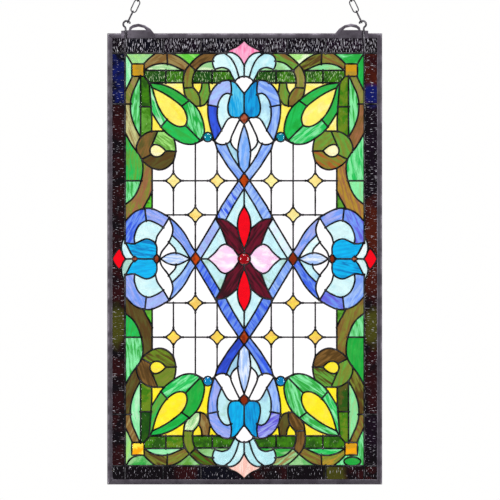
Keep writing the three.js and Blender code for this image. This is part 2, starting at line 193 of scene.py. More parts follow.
def leaf_seams():
    lay(curve((175, 325.3), (152, 322), (126, 310.8), (104, 294.5), (86.5, 277.5), (76, 254),
              (74.5, 230), (88, 213.8), (110, 212.5), (132, 223.5), (150.5, 239), (171.3, 270)))
    lay(curve((170, 316), (150, 306.5), (130, 293.5), (113, 278.5), (105.7, 260), (109, 247),
              (120, 244.3), (134, 250), (147, 262), (158, 279.5), (165.5, 299), (170, 316)))
    lay(line((115, 282.5), (102, 292)))
    lay(line((152.5, 246), (143, 257)))
    lay(line((107.5, 245.5), (83, 220.5)))
    lay(line((170, 316), (175.5, 325.5)))


def curl_seams():
    lay(curve((171.3, 236), (181, 232.5), (192, 225)))
    lay(curve((192, 225), (196.5, 217), (199.8, 206), (199, 198)))
    lay(line((171.3, 236), (152, 236)))
    lay(curve((130, 221.5), (127.5, 212), (126.5, 200), (128, 190), (131, 179.5)))
    lay(curve((131, 179.5), (141, 170), (150, 165.5), (159, 164.7), (170.5, 167.5)))
    lay(curve((170.5, 167.5), (180, 173.5), (189, 182)))
    lay(curve((145, 199.5), (151.5, 205.5), (159, 210), (167, 211), (173, 206), (174.5, 199),
              (172, 192.5), (166, 189), (158, 189), (151, 193), (145, 199.5)))
    lay(line((145, 199.5), (127, 199)))
    lay(line((171.5, 209), (160.5, 235)))
    lay(line((173, 192.5), (189, 184.5)))


def stem_seams():
    lay(curve((207.5, 337.2), (213, 325), (221, 309)))
    lay(curve((193.5, 337), (200, 322), (206, 309), (210, 295), (211, 280), (209.5, 265),
              (205, 250), (198.5, 236), (192, 225)))
    lay(line((221, 286), (210.7, 286)))
    lay(curve((221, 233), (208, 210), (194, 191), (188.5, 178), (188.3, 158), (192, 141),
              (199, 123), (208, 110.5), (221, 100)))
    lay(curve((170.5, 126), (176, 113.5), (181, 105), (187, 93)))
    lay(line((221, 144.3), (191, 144.3)))


LATTICE_SIDE = 170.5
LATTICE_COLUMNS = (131, 90.3, 50)
LATTICE_ROWS = (144.3, 81.3)
STAR_REACH = 17
STAR_SHOULDER = (10.4, 3.2)
STAR_WAIST = 6.3
STAR_GLASS = 13.8
STAR_SOLDER = 1.9


def star(x, y):
    """A four-pointed star with hollow sides, where two lines of the lattice cross."""
    shoulder = Vector(STAR_SHOULDER)
    point = (Vector((STAR_REACH, 0)), shoulder, Vector((STAR_WAIST, STAR_WAIST)), shoulder.yx)
    outline = []
    for quarter in range(4):
        turn = Matrix.Rotation(quarter * math.pi / 2, 2)
        outline += [turn @ corner + Vector((x, y)) for corner in point]
    return outline


def lattice_seams():
    outer, middle, inner = LATTICE_COLUMNS
    upper, lower = LATTICE_ROWS
    tip = STAR_REACH - 1
    lay(line((LATTICE_SIDE, 167.5), (LATTICE_SIDE, 93)))
    lay(line((outer, 180), (outer, upper + tip)), FINE)
    lay(line((outer, upper - tip), (outer, lower)), FINE)
    lay(line((middle, 213.3), (middle, lower + tip)), FINE)
    lay(line((middle, lower - tip), (middle, 14)), FINE)
    lay(line((inner, 203), (inner, upper + tip)), FINE)
    lay(line((inner, upper - tip), (inner, 78)), FINE)
    lay(line((LATTICE_SIDE, upper), (outer + tip, upper)), FINE)
    lay(line((outer - tip, upper), (inner + tip, upper)), FINE)
    lay(line((inner - tip, upper), (10, upper)), FINE)
    lay(line((147, lower), (middle + tip, lower)), FINE)
    lay(line((middle - tip, lower), (51, lower)), FINE)
    for x, y in ((outer, upper), (inner, upper), (middle, lower)):
        lay(star(x, y), FINE, closed=True)
        # the tips are solid solder
        for away_x, away_y in ((1, 0), (0, 1), (-1, 0), (0, -1)):
            run = [(x + away_x * reach, y + away_y * reach) for reach in (STAR_GLASS, STAR_REACH)]
            lay(line(*run), STAR_SOLDER)


def fleur_seams():
    # crown of plumes
    lay(curve((34, 380), (44, 379.3), (52, 376.5), (57, 370.5), (58.5, 363), (57, 355.5), (54.5, 350)))
    lay(curve((54.5, 350), (48, 352), (41, 353.5), (34, 352), (28, 348.5), (22.5, 338.5), (17, 328.5)))
    lay(curve((36, 379.5), (25, 371), (16, 356), (9.5, 335.5)))
    lay(curve((34, 380), (27, 381.3), (20, 380), (13, 376), (7.5, 370.5), (3.5, 364), (0, 357)))
    lay(line((0, 358), (0, 337)))
    lay(curve((0, 404), (7, 397), (15, 391.5), (23, 388), (30, 384), (34, 380)))
    lay(line((0, 404), (0, 411)))
    lay(curve((17, 328), (13, 332.5), (7, 336), (0, 337.3)))
    lay(curve((25, 328.5), (20, 327.5), (14, 323), (8, 315), (0, 305)))
    # blue arch and what it shelters
    lay(curve((17, 328.5), (25, 329.8), (33, 329.8), (41, 328), (49, 323.5), (56, 316), (61, 308.5),
              (64.5, 300), (67, 284), (66.5, 264), (62.5, 243), (55, 217.5)))
    lay(curve((25, 329), (23.5, 310), (27.5, 294), (30, 281), (28, 267.5), (22.5, 262), (9, 261)))
    lay(curve((24, 303.5), (31, 305.7), (37.5, 303.5), (43, 297.5), (47.5, 288.5), (49.5, 277),
              (49, 258), (42, 237.5)))
    lay(line((66.8, 284.5), (49, 281)))
    lay(line((0, 306), (0, 270)))
    lay(diamond(0, 259.5, 10.5, 11), closed=True)
    # white petals, the blue one between them, and the bands that cross below
    lay(curve((22, 261.5), (28, 259.5), (33, 254), (42, 237.3), (55, 217.5)))
    lay(curve((55, 217.5), (52.5, 211), (50.5, 203)))
    lay(curve((55, 217.5), (49, 213), (42, 211), (35, 211.5), (29, 214.5), (25, 219)))
    lay(curve((8.5, 257), (16, 242), (25, 219), (22, 209), (12, 198.5)))
    lay(curve((0, 248.5), (6, 231), (11, 208), (12, 196), (9, 170)))
    lay(curve((33, 212.5), (24, 192.5), (12, 173.5), (0, 157.5)))
    lay(line((50.5, 203), (30, 170.5), (10, 144.5)))
    lay(diamond(0, 145, 9.5, 14.5), closed=True)
    # teal drop between leaf and arch
    lay(circle(*DROP, 8.6, 12), closed=True)
    lay(line((88, 213.8), (75, 220.5)))
    lay(line((60, 220.5), (55, 217.5)))


def side_flower_seams():
    lay(curve((221, 69), (206, 84.5), (195, 90.5), (183, 93.3), (171, 92.8), (149, 82.8), (131, 70.3),
              (112, 49.5), (97, 23.5), (90, 13)))
    lay(curve((203, 29), (203.5, 41), (195, 61.5), (179, 70.8), (160, 64.5), (150, 58)))
    lay(line((184, 93), (181.5, 70.8)))
    lay(curve((220, 30), (205, 27.8), (181, 37), (166, 30.5), (162, 21.5), (162, 9)))
    lay(curve((221.5, 41), (226, 31), (227.7, 20), (225.5, 9), (220, 0)))
    lay(curve((220, 30), (209.5, 9.5), (205, 4)))
    lay(line((196.5, 0), (168, 0)))
    lay(line((220, 0), (209.5, 0)))
    lay(diamond(203, 0, 6.5, 5.5), closed=True)
    lay(diamond(162, 0, 7, 9.5), closed=True)
    lay(curve((139, 76), (150, 58), (161, 42), (164.5, 29)))
    lay(curve((139, 76), (132, 54), (139, 31.5), (153, 12.5), (156.5, 2)))
    lay(curve((139.5, 31), (127.5, 17.5), (126, 11)))
    lay(curve((155, 0), (141, 8.5), (125, 11), (99.5, 0)))
    lay(curve((100, 1), (117, 27), (133, 43)))
    lay(curve((245, 0), (240, 9.5), (231.5, 19), (227, 13.5)))
    lay(line((245, 0), (249, 0)))


def centre_seams():
    # blue bands of the large diamond
    lay(line((10, 144.5), (28, 118.5), (42, 97), (53, 75)))
    lay(line((53, 75), (90, 13)))
    lay(line((0, 130.5), (20, 98), (34, 72)))
    lay(line((45.5, 57), (68, 19.5), (80.5, 0)))
    lay(diamond(90, 0, 9.5, 13.5), closed=True)
    # red, maroon and pink petals round the nugget
    lay(curve((0, 98), (9.5, 80), (12.2, 66), (12, 55)))
    lay(curve((12, 55), (8.5, 40), (0, 17)))
    lay(line((0, 131), (0, 98)))
    lay(curve((53, 75), (34, 71.5), (12, 55)))
    lay(curve((53, 75), (42, 54.5), (31.5, 27)))
    lay(curve((67, 0), (54, 11.5), (43, 24), (35.5, 27), (31.5, 26.8)))
    lay(curve((31.5, 26.8), (20, 18.5), (10, 5)))
    lay(line((80.5, 0), (67, 0)))
    lay(line((0, 17), (0, 11)))
    lay(circle(*NUGGET, 11.3, 16), closed=True)


for draw in (border_seams, corner_seams, bar_seams, scroll_seams, leaf_seams, curl_seams, stem_seams,
             lattice_seams, fleur_seams, side_flower_seams, centre_seams):
    draw()

# ------------------------------------------------------------------ from one quarter to the panel

# which side and which half of the panel each quarter lies in
QUARTERS = {"top_left": (-1, 1), "top_right": (1, 1), "bottom_left": (-1, -1), "bottom_right": (1, -1)}
QUARTER_SIDES = tuple(QUARTERS.values())
PATTERN_DRIFT = 1
LOWER_GROWTH = 2.4


def placed(point, side, half):
    """The pattern sits a little left of the middle, and its lower half is a little taller."""
    x, y = point
    outward = x / BORDER_X
    drift = PATTERN_DRIFT * (1 - outward**2) if outward < 1 else 0
    growth = LOWER_GROWTH * (y / BORDER_Y) ** 2 if half < 0 else 0
    return Vector((side * x - drift, half * (y + growth)))


def laid_seams():
    """Every seam of the whole panel once, as (path, half width, closed)."""
    seen = set()
    whole = []
    for name, (side, half) in QUARTERS.items():
        for path, half_width, closed, quarters in seams:
            if quarters and name not in quarters:
                continue
            laid = [placed(point, side, half) for point in path]
            mark = frozenset((round(p.x, 1), round(p.y, 1)) for p in laid)
            if mark not in seen:
                seen.add(mark)
                whole.append((laid, half_width, closed))
    return whole


# the glass stops inside the channel
GLASS_EDGE = 3.2
EDGE_X = HALF_WIDTH - GLASS_EDGE
EDGE_Y = HALF_HEIGHT - GLASS_EDGE
GLASS_RIM = line((-EDGE_X, -EDGE_Y), (EDGE_X, -EDGE_Y), (EDGE_X, EDGE_Y), (-EDGE_X, EDGE_Y))

# A loose end looks ahead as far as REACH for a seam: NEAR is a meeting at the end, CLOSE one further on.
# The stub that is added runs a little past the seam it meets, and the seam's own end laps on to the stub.
# Long seams are searched in stretches.
REACH = 9
REACH_STEP = 0.5
NEAR = 2.4
CLOSE = 0.8
OVERRUN = 0.4
END_LAP = 1.0
STRETCH = 12


def stretches(path, closed):
    return list(zip(path, path[1:] + path[:1])) if closed else list(zip(path, path[1:]))


def spaced(path, closed, spacing):
    """The same path with points no further apart than the spacing."""
    points = []
    for start, end in stretches(path, closed):
        count = max(1, math.ceil((end - start).length / spacing))
        points += [start.lerp(end, step / count) for step in range(count)]
    return points if closed else points + [path[-1]]


def nearest(spot, others):
    """The closest place to a spot on any of the stretches."""
    best = None
    for start, end in others:
        share = min(1, max(0, geometry.intersect_point_line(spot, start, end)[1]))
        place = start.lerp(end, share)
        if best is None or (place - spot).length < (best - spot).length:
            best = place
    return best


def met(end, before, others):
    """What a seam's loose end needs: the point it runs on to, and where it touches its neighbour."""
    direction = (end - before).normalized()
    near = [pair for pair in others if (pair[0] - end).length < 2 * STRETCH]
    for step in range(int(REACH / REACH_STEP)):
        spot = end + direction * step * REACH_STEP
        place = nearest(spot, near) if near else None
        if place and (place - spot).length < (CLOSE if step else NEAR):
            gap = place - end
            stub = place + gap.normalized() * OVERRUN if gap.length > OVERRUN / 10 else None
            return (end + direction * END_LAP if step * REACH_STEP < END_LAP else end), stub
    return end, None


def joined(whole):
    """The seams, with every loose end carried on to the seam that it points at."""
    parts = [stretches(spaced(path, closed, STRETCH), closed) for path, _, closed in whole]
    rim = stretches(spaced(GLASS_RIM, True, STRETCH), True)
    result = []
    for number, (path, half_width, closed) in enumerate(whole):
        if closed:
            result.append((path, half_width, closed))
            continue
        others = [pair for other, part in enumerate(parts) if other != number for pair in part] + rim
        first, first_stub = met(path[0], path[1], others)
        last, last_stub = met(path[-1], path[-2], others)
        result.append(([first, *path[1:-1], last], half_width, closed))
        for end, stub in ((path[0], first_stub), (path[-1], last_stub)):
            if stub:
                result.append(([end, stub], half_width, False))
    return result


SLIVER = 6
MERGE = 1e-4


def area_of(triangle):
    first, second, third = triangle
    return abs((second - first).cross(third - first)) / 2


def middle_of(triangle):
    return (triangle[0] + triangle[1] + triangle[2]) / 3


def touching(faces, walls):
    """Groups of triangles that share sides, wherever no wall runs between them."""
    owners = {}
    for number, face in enumerate(faces):
        for index in range(3):
            side = frozenset((face[index], face[(index + 1) % 3]))
            owners.setdefault(side, []).append(number)
    neighbours = {number: [] for number in range(len(faces))}
    for side, pair in owners.items():
        if side not in walls and len(pair) == 2:
            neighbours[pair[0]].append(pair[1])
            neighbours[pair[1]].append(pair[0])
    groups = []
    taken = set()
    for start in range(len(faces)):
        if start in taken:
            continue
        taken.add(start)
        group = [start]
        for number in group:
            for other in neighbours[number]:
                if other not in taken:
                    taken.add(other)
                    group.append(other)
        groups.append(group)
    return groups


def glass_cells(whole):
    """Cuts the sheet along every seam: returns a list of cells, each a list of triangles."""
    points = []
    edges = []
    for path, closed in (*((path, closed) for path, _, closed in whole), (GLASS_RIM, True)):
        first = len(points)
        points += path
        edges += [(first + index, first + index + 1) for index in range(len(path) - 1)]
        if closed:
            edges.append((len(points) - 1, first))
    spots, cut_edges, faces, _, edge_sources, _ = delaunay_2d_cdt(points, edges, [], 0, MERGE)
    walls = {frozenset(edge) for edge, source in zip(cut_edges, edge_sources) if source}
    cells = []
    for group in touching(faces, walls):
        triangles = [[spots[corner] for corner in faces[number]] for number in group]
        middle = middle_of(max(triangles, key=area_of))
        if sum(map(area_of, triangles)) > SLIVER and abs(middle.x) < EDGE_X and abs(middle.y) < EDGE_Y:
            cells.append(triangles)
    return cells


# ------------------------------------------------------------------ the colours of the glass

TINTS = {
    "white": (255, 254, 255), "milk": (252, 248, 252), "cream": (252, 246, 196), "ice": (214, 245, 248),
    "frost": (180, 230, 238), "aqua": (196, 238, 246), "mist": (160, 205, 232), "sage": (170, 214, 200),
    "pale lime": (225, 245, 200), "lime": (160, 225, 120), "pea": (150, 208, 140), "grass": (92, 200, 55),
    "mint": (132, 232, 160), "pale mint": (178, 238, 190), "emerald": (32, 188, 84), "leaf": (50, 168, 66),
    "clover": (26, 166, 60), "fern": (96, 160, 58), "moss": (62, 122, 22), "forest": (42, 84, 24),
    "bottle": (28, 74, 22), "olive": (122, 132, 48), "dark olive": (88, 84, 36),
    "green olive": (104, 132, 34),
    "khaki": (196, 196, 134), "tan": (150, 130, 78), "brown": (126, 92, 46), "umber": (84, 60, 24),
    "red brown": (152, 100, 66), "ochre": (176, 140, 46), "burnt": (164, 92, 40),
    "lemon": (253, 243, 164), "yellow": (252, 236, 104), "deep yellow": (255, 236, 30),
    "gold": (254, 230, 72), "amber": (205, 150, 30), "orange": (248, 168, 20), "star": (250, 228, 142),
    "warm star": (245, 202, 92),
    "pale blue": (226, 236, 252), "lavender": (162, 172, 238), "periwinkle": (160, 192, 246),
    "bluebell": (112, 150, 238), "royal": (52, 88, 224), "navy": (44, 66, 182), "violet": (100, 92, 214),
    "sky": (112, 166, 246),
    "teal": (0, 158, 222), "bright teal": (0, 182, 240), "deep teal": (0, 120, 190),
    "pale teal": (92, 200, 236), "sea": (4, 128, 150), "pool": (8, 124, 184),
    "pink": (250, 204, 240), "rose": (250, 172, 206), "hot pink": (244, 120, 168),
    "salmon": (248, 192, 178), "light salmon": (252, 218, 206),
    "red": (238, 0, 30), "maroon": (104, 12, 40), "wine": (52, 6, 24), "ruby": (150, 0, 22),
    "rust": (126, 44, 16), "bright rust": (190, 70, 10), "copper": (168, 92, 66),
    "night": (16, 9, 16), "black plum": (24, 10, 26), "dark wine": (44, 12, 16), "dark rust": (70, 26, 14),
    "cobalt": (16, 26, 92), "dark moss": (66, 66, 22), "ink": (10, 8, 22),
}


def tint(name):
    """The light that a tint lets through, as a linear colour."""
    return Vector([(part / 255) ** 2.2 for part in TINTS[name]])


# Each row is a place in one quarter, the kind of glass, the run of its streaks in degrees, and its
# two tints: once for the whole panel, for its top and bottom, or for the top left, top right, bottom
# left and bottom right quarters.
GLAZING = (
    (40, 398, "rippled", 90, "night/ink", "night/black plum", "ink/black plum", "dark wine/night"),
    (115, 398, "rippled", 90, "night/black plum", "night/ink", "night/dark wine", "night/night"),
    (185, 398, "rippled", 90, "night/ink", "night/black plum", "night/night", "night/dark wine"),
    (236, 398, "rippled", 90, "night/black plum", "night/night", "night/night", "night/dark wine"),
    (236, 330, "rippled", 0, "cobalt/ink", "dark rust/dark wine", "night/dark wine", "night/black plum"),
    (236, 150, "rippled", 0, "night/dark wine", "night/black plum", "night/dark wine", "night/dark wine"),
    # corner
    (195, 372, "wispy", 20, "pea/lime", "clover/mint", "leaf/pea", "clover/leaf"),
    (216, 346, "streaky", 80, "mint/pale mint", "clover/emerald", "pea/lime", "mint/leaf"),
    (197, 349, "hammered", 0, "amber/ochre", "amber/ochre", "orange/gold", "orange/amber"),
    (165, 367, "streaky", 150, "brown/tan", "brown/olive", "umber/olive", "olive/ochre"),
    (120, 365, "streaky", 30, "tan/brown", "umber/olive", "olive/brown", "brown/olive"),
    (150, 353, "streaky", 5, "pea/pale lime", "mint/pea", "mint/pale mint", "emerald/mint"),
    (103, 373, "wispy", 20, "grass/lime", "pale lime/lime", "fern/pea", "pea/leaf"),
    (62, 353, "wispy", 15, "pea/pale lime", "pea/pale mint", "pea/fern", "leaf/pea"),
    # bars
    (41, 337, "hammered", 82, "forest/moss", "forest/bottle", "moss/forest", "forest/moss"),
    (76, 336, "hammered", 82, "forest/bottle", "forest/moss", "moss/forest", "forest/moss"),
    (128, 337, "hammered", 82, "moss/forest", "forest/moss", "moss/green olive", "moss/forest"),
    (164, 337, "hammered", 82, "forest/bottle", "moss/forest", "forest/moss", "moss/forest"),
    (183, 307, "hammered", 90, "moss/forest", "moss/green olive", "bottle/forest", "moss/green olive"),
    (182, 256, "hammered", 90, "moss/fern", "moss/green olive", "green olive/moss", "forest/dark olive"),
    (176, 104, "hammered", 60, "grass/moss", "fern/moss", "fern/grass", "moss/fern"),
    # scroll
    (76, 367, "streaky", 145, "brown/umber", "fern/brown", "umber/moss", "tan/pea"),
    (103, 335, "streaky", 95, "olive/brown", "olive/tan", "green olive/olive", "brown/umber"),
    (96, 300, "streaky", 60, "olive/fern", "brown/olive", "pea/pale lime", "umber/brown"),
    (72, 300, "streaky", 100, "fern/olive", "olive/fern", "brown/tan", "dark olive/umber"),
    (85, 315, "wispy", 0, "yellow/gold", "yellow/lemon", "deep yellow/gold", "deep yellow/gold"),
    (57, 321, "wispy", 0, "yellow/lemon", "yellow/gold", "deep yellow/gold", "deep yellow/gold"),
    (70, 262, "wispy", 90, "yellow/gold", "gold/yellow", "deep yellow/gold", "deep yellow/gold"),
    (125, 318, "wispy", 0, "yellow/lemon", "yellow/lemon", "deep yellow/gold", "gold/deep yellow"),
    (167, 243, "wispy", 60, "gold/yellow", "yellow/lemon", "deep yellow/gold", "deep yellow/gold"),
    # leaf
    (135, 277, "wispy", 40, "yellow/gold", "yellow/lemon", "deep yellow/gold", "deep yellow/gold"),
    (135, 306, "streaky", 30, "leaf/clover", "leaf/emerald", "clover/emerald", "leaf/mint"),
    (92, 262, "streaky", 75, "clover/mint", "clover/emerald", "clover/leaf", "leaf/mint"),
    (125, 228, "streaky", 35, "emerald/leaf", "emerald/mint", "emerald/mint", "leaf/mint"),
    (162, 285, "streaky", 65, "emerald/pale mint", "leaf/emerald", "fern/emerald", "emerald/mint"),
    # curl
    (145, 222, "streaky", 35, "fern/lime", "olive/fern", "green olive/olive", "fern/umber"),
    (183, 208, "streaky", 110, "brown/dark olive", "olive/fern", "umber/brown", "olive/fern"),
    (155, 178, "streaky", 150, "umber/dark olive", "olive/burnt", "green olive/umber", "umber/brown"),
    (161, 200, "wispy", 0, "lemon/cream", "cream/lemon", "deep yellow/gold", "deep yellow/gold"),
    # stems and grounds at the sides
    (210, 313, "streaky", 65, "tan/olive", "olive/tan", "brown/tan", "brown/olive"),
    (199, 281, "streaky", 95, "leaf/mint", "mint/leaf", "mint/pale mint", "pea/mint"),
    (210, 242, "streaky", 70, "khaki/tan", "brown/red brown", "umber/dark olive", "umber/olive"),
    (207, 177, "streaky", 95, "emerald/fern", "mint/emerald", "mint/leaf", "clover/leaf"),
    (209, 128, "streaky", 80, "mint/leaf", "mint/pea", "leaf/emerald", "mint/leaf"),
    (191, 122, "streaky", 105, "red brown/olive", "red brown/ochre", "umber/dark olive", "brown/olive"),
    # fleur
    (0, 383, "streaky", 90, "rose/hot pink", "salmon/light salmon"),
    (11, 361, "wispy", 70, "ice/frost", "frost/ice", "frost/ice", "frost/ice"),
    (33, 359, "wispy", 60, "ice/frost", "frost/ice", "frost/aqua", "frost/aqua"),
    (0, 324, "clear", 0, "milk/milk"),
    (14, 290, "streaky", 85, "teal/pale teal", "teal/deep teal", "bright teal/teal", "teal/deep teal"),
    (37, 275, "wispy", 80, "ice/aqua", "aqua/mist", "aqua/sage", "frost/mist"),
    (44, 307, "streaky", 150,
     "periwinkle/lavender", "bluebell/periwinkle", "lavender/bluebell", "violet/lavender"),
    (58, 254, "streaky", 85,
     "royal/navy", "bluebell/periwinkle", "bluebell/lavender", "periwinkle/bluebell"),
    (30, 236, "clear", 60, "white/milk"),
    (12, 228, "clear", 60, "white/milk"),
    (0, 199, "streaky", 90, "sky/periwinkle", "periwinkle/pale blue"),
    (19, 196, "wispy", 60, "mist/frost", "white/ice", "mist/frost", "ice/white"),
    (26, 182, "streaky", 55, "periwinkle/bluebell", "periwinkle/bluebell", "navy/royal", "royal/bluebell"),
    (*DROP, "smooth", 0, "sea/sea", "pool/pool"),
    # lattice
    (70, 182, "clear", 0, "white/milk"),
    (109, 180, "clear", 0, "white/milk"),
    (35, 165, "clear", 0, "milk/white", "white/milk", "milk/white", "milk/white"),
    (150, 158, "clear", 0, "milk/white"),
    (35, 123, "clear", 0, "milk/white"),
    (69, 113, "clear", 0, "white/milk"),
    (110, 113, "clear", 0, "white/milk"),
    (150, 113, "clear", 0, "white/milk"),
    (75, 57, "clear", 0, "milk/white"),
    (107, 59, "clear", 0, "milk/white"),
    (50, 144.3, "wispy", 0, "star/warm star", "star/lemon", "warm star/gold", "warm star/gold"),
    (131, 144.3, "wispy", 0, "star/lemon", "star/warm star", "warm star/gold", "warm star/gold"),
    (90.3, 81.3, "wispy", 0, "star/warm star", "star/lemon", "warm star/star", "warm star/gold"),
    # side flowers
    (163, 78, "streaky", 30,
     "lavender/bluebell", "bluebell/lavender", "lavender/periwinkle", "violet/bluebell"),
    (204, 62, "streaky", 120,
     "bluebell/royal", "bluebell/violet", "bluebell/lavender", "periwinkle/bluebell"),
    (179, 50, "wispy", 0, "ice/aqua"),
    (186, 18, "streaky", 10,
     "bright teal/deep teal", "bright teal/teal", "bright teal/teal", "bright teal/deep teal"),
    (219, 15, "wispy", 60, "ice/aqua", "white/ice", "sage/ice", "ice/sage"),
    (233, 0, "smooth", 0, "red/red"),
    (203, 0, "hammered", 0, "copper/rust", "rust/copper", "copper/rust", "rust/copper"),
    (162, 0, "hammered", 0, "rust/copper", "rust/rust", "rust/copper", "rust/rust"),
    (148, 40, "clear", 60, "white/milk"),
    (141, 15, "clear", 60, "white/milk", "milk/white", "white/milk", "milk/white"),
    (121, 22, "wispy", 50, "aqua/ice", "ice/white", "ice/aqua", "aqua/mist"),
    (128, 0, "streaky", 0, "periwinkle/pale blue"),
    (114, 37, "streaky", 55,
     "bluebell/lavender", "lavender/bluebell", "bluebell/periwinkle", "bluebell/royal"),
    # middle
    (*NUGGET, "smooth", 0, "ruby/ruby"),
    (34, 0, "wispy", 0, "pink/milk"),
    (23, 42, "streaky", 55, "maroon/wine", "maroon/wine", "wine/maroon", "maroon/wine"),
    (0, 60, "smooth", 0, "red/red"),
    (54, 24, "wispy", 60, "aqua/ice", "aqua/sage"),
    (13, 89, "wispy", 60, "aqua/ice", "aqua/ice", "ice/aqua", "aqua/ice"),
    (65, 40, "streaky", 60, "lavender/periwinkle", "pale blue/ice", "royal/bluebell", "bluebell/periwinkle"),
    (25, 105, "streaky", 58, "periwinkle/royal", "periwinkle/bluebell", "bluebell/royal", "bluebell/royal"),
    (0, 145, "hammered", 0, "bright rust/rust", "rust/bright rust"),
    (0, 259.5, "hammered", 0, "rust/copper", "rust/rust"),
    (90, 0, "hammered", 0, "rust/bright rust", "rust/rust", "rust/bright rust", "rust/rust"),
)

# Softly bounded patches of other colour in the rolled border: middle, reach and tint
PATCHES = (
    ((236, 304), (22, 22), "cobalt"),
    ((236, 20), (30, 90), "dark rust"),
    ((236, -128), (18, 36), "dark moss"),
    ((-236, -125), (22, 40), "dark moss"),
    ((166, -398), (20, 40), "dark moss"),
    ((-55, -398), (40, 40), "ink"),
    ((-105, -398), (16, 40), "dark wine"),
)

# ------------------------------------------------------------------ which glass goes where

CAST_FROM = 40


def inside(spot, triangle):
    return geometry.intersect_point_tri_2d(spot, *triangle) != 0


def glazed(cells):
    """Finds the row of the glazing table and the number of the quarter that each cell belongs to."""
    chosen = {}
    for row in GLAZING:
        for number, (side, half) in enumerate(QUARTER_SIDES):
            spot = placed(row[:2], side, half)
            for index, cell in enumerate(cells):
                if any(inside(spot, triangle) for triangle in cell):
                    chosen[index] = (row, number)
    return chosen


def node_under(spot, trees):
    """The CAD pane that lies behind a spot of the panel, if there is one."""
    start = in_panel(spot.x, spot.y, CAST_FROM)
    hits = [(tree.ray_cast(start, Vector((0, 1, 0)))[3], name) for name, tree in trees.items()]
    hits = [(distance, name) for distance, name in hits if distance is not None]
    return min(hits)[1] if hits else None


PANE_SLOTS = ("border_glass", "vine_glass", "corner_jewel", "scroll_glass", "bar_glass", "leaf_glass",
              "lattice_glass", "rondelle", "fleur_glass", "diamond_tip", "side_flower_glass",
              "side_diamond", "centre_flower_glass", "centre_nugget")


def pane_trees():
    """A search tree of every CAD pane, by the name of its node."""
    trees = {}
    for name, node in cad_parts.items():
        if name.startswith(PANE_SLOTS):
            corners = [vert.co for vert in node.data.vertices]
            trees[name] = BVHTree.FromPolygons(corners, [face.vertices for face in node.data.polygons])
    return trees


# ------------------------------------------------------------------ panes

INSET = 0.35
CUT_SNAP = 1e-5
CUT_MARGIN = 1e-4

# rolled surfaces: the steps of their grids and the heights of their waves in millimetres, and the
# pitch in waves per millimetre, along and across a strip for the ripples
RIPPLE_STEP = 1.25
RIPPLE_ACROSS = 2.6
RIPPLE_HEIGHT = 0.75
RIPPLE_PITCH = (0.42, 0.09)
RIPPLE_SEED = 7.0
RIPPLE_BEND = 3
RIPPLE_BEND_PITCH = 0.05
BEND_SEED = 2.0
HAMMER_STEP = 1.9
# height, pitch and seed
HAMMER_WAVES = ((0.5, 0.36, 4.0), (0.22, 0.8, 9.0))


def corners_in(parts):
    return [part for part in parts if isinstance(part, bmesh.types.BMVert)]


def reaches_past(item, axis, place):
    """Whether a corner, edge or face has anything beyond a cutting plane."""
    corners = [item] if isinstance(item, bmesh.types.BMVert) else item.verts
    return any(corner.co[axis] > place - CUT_MARGIN for corner in corners)


def cut_grid(pane, across_x, across_y):
    """Cuts a flat face into a grid by planes, to give it a surface that can be rolled."""
    spans = [[vert.co[axis] for vert in pane.verts] for axis in (0, 1)]
    sizes = [max(span) - min(span) for span in spans]
    cuts = [(0, across_x), (1, across_y)]
    for axis, spacing in sorted(cuts, key=lambda cut: cut[1] / sizes[cut[0]]):
        low = min(vert.co[axis] for vert in pane.verts)
        normal = Vector((axis == 0, axis == 1, 0))
        rest = pane.verts[:] + pane.edges[:] + pane.faces[:]
        for step in range(1, int(sizes[axis] / spacing) + 1):
            place = low + step * spacing
            cut = bmesh.ops.bisect_plane(pane, geom=rest, plane_co=normal * place, plane_no=normal,
                                         dist=CUT_SNAP)
            rest = [item for item in cut["geom"] if reaches_past(item, axis, place)]


def uneven(x, y, pitch, seed):
    """Smooth noise between about -1 and 1."""
    return noise.noise((x * pitch, y * pitch, seed))


def rippled(x, y, along_x):
    """The height of a rolled ripple in millimetres: short ridges that run across the strip."""
    run, cross = (x, y) if along_x else (y, x)
    bend = uneven(run, cross, RIPPLE_BEND_PITCH, BEND_SEED) * RIPPLE_BEND
    along, across = RIPPLE_PITCH
    return RIPPLE_HEIGHT * noise.noise(((run + bend) * along, cross * across, RIPPLE_SEED))


def hammered(x, y):
    return sum(height * uneven(x, y, pitch, seed) for height, pitch, seed in HAMMER_WAVES)


def flat_pane(cell):
    """One flat face with a cell's outline, a little smaller all round."""
    pane = bmesh.new()
    corners = {}

    def corner(point):
        key = (round(point.x, 3), round(point.y, 3))
        if key not in corners:
            corners[key] = pane.verts.new((*point, 0))
        return corners[key]

    for triangle in cell:
        points = [corner(point) for point in triangle]
        if len(set(points)) == 3 and not pane.faces.get(points):
            pane.faces.new(points)
    bmesh.ops.recalc_face_normals(pane, faces=pane.faces)
    if pane.faces[:] and sum(face.normal.z for face in pane.faces) < 0:
        bmesh.ops.reverse_faces(pane, faces=pane.faces)
    inner = [edge for edge in pane.edges if not edge.is_boundary]
    bmesh.ops.dissolve_edges(pane, edges=inner, use_verts=False)
    loose = [vert for vert in pane.verts if not vert.link_faces]
    bmesh.ops.delete(pane, geom=loose, context="VERTS")
    rim = bmesh.ops.inset_region(pane, faces=pane.faces[:], thickness=INSET, use_even_offset=False)["faces"]
    bmesh.ops.delete(pane, geom=rim, context="FACES")
    return pane


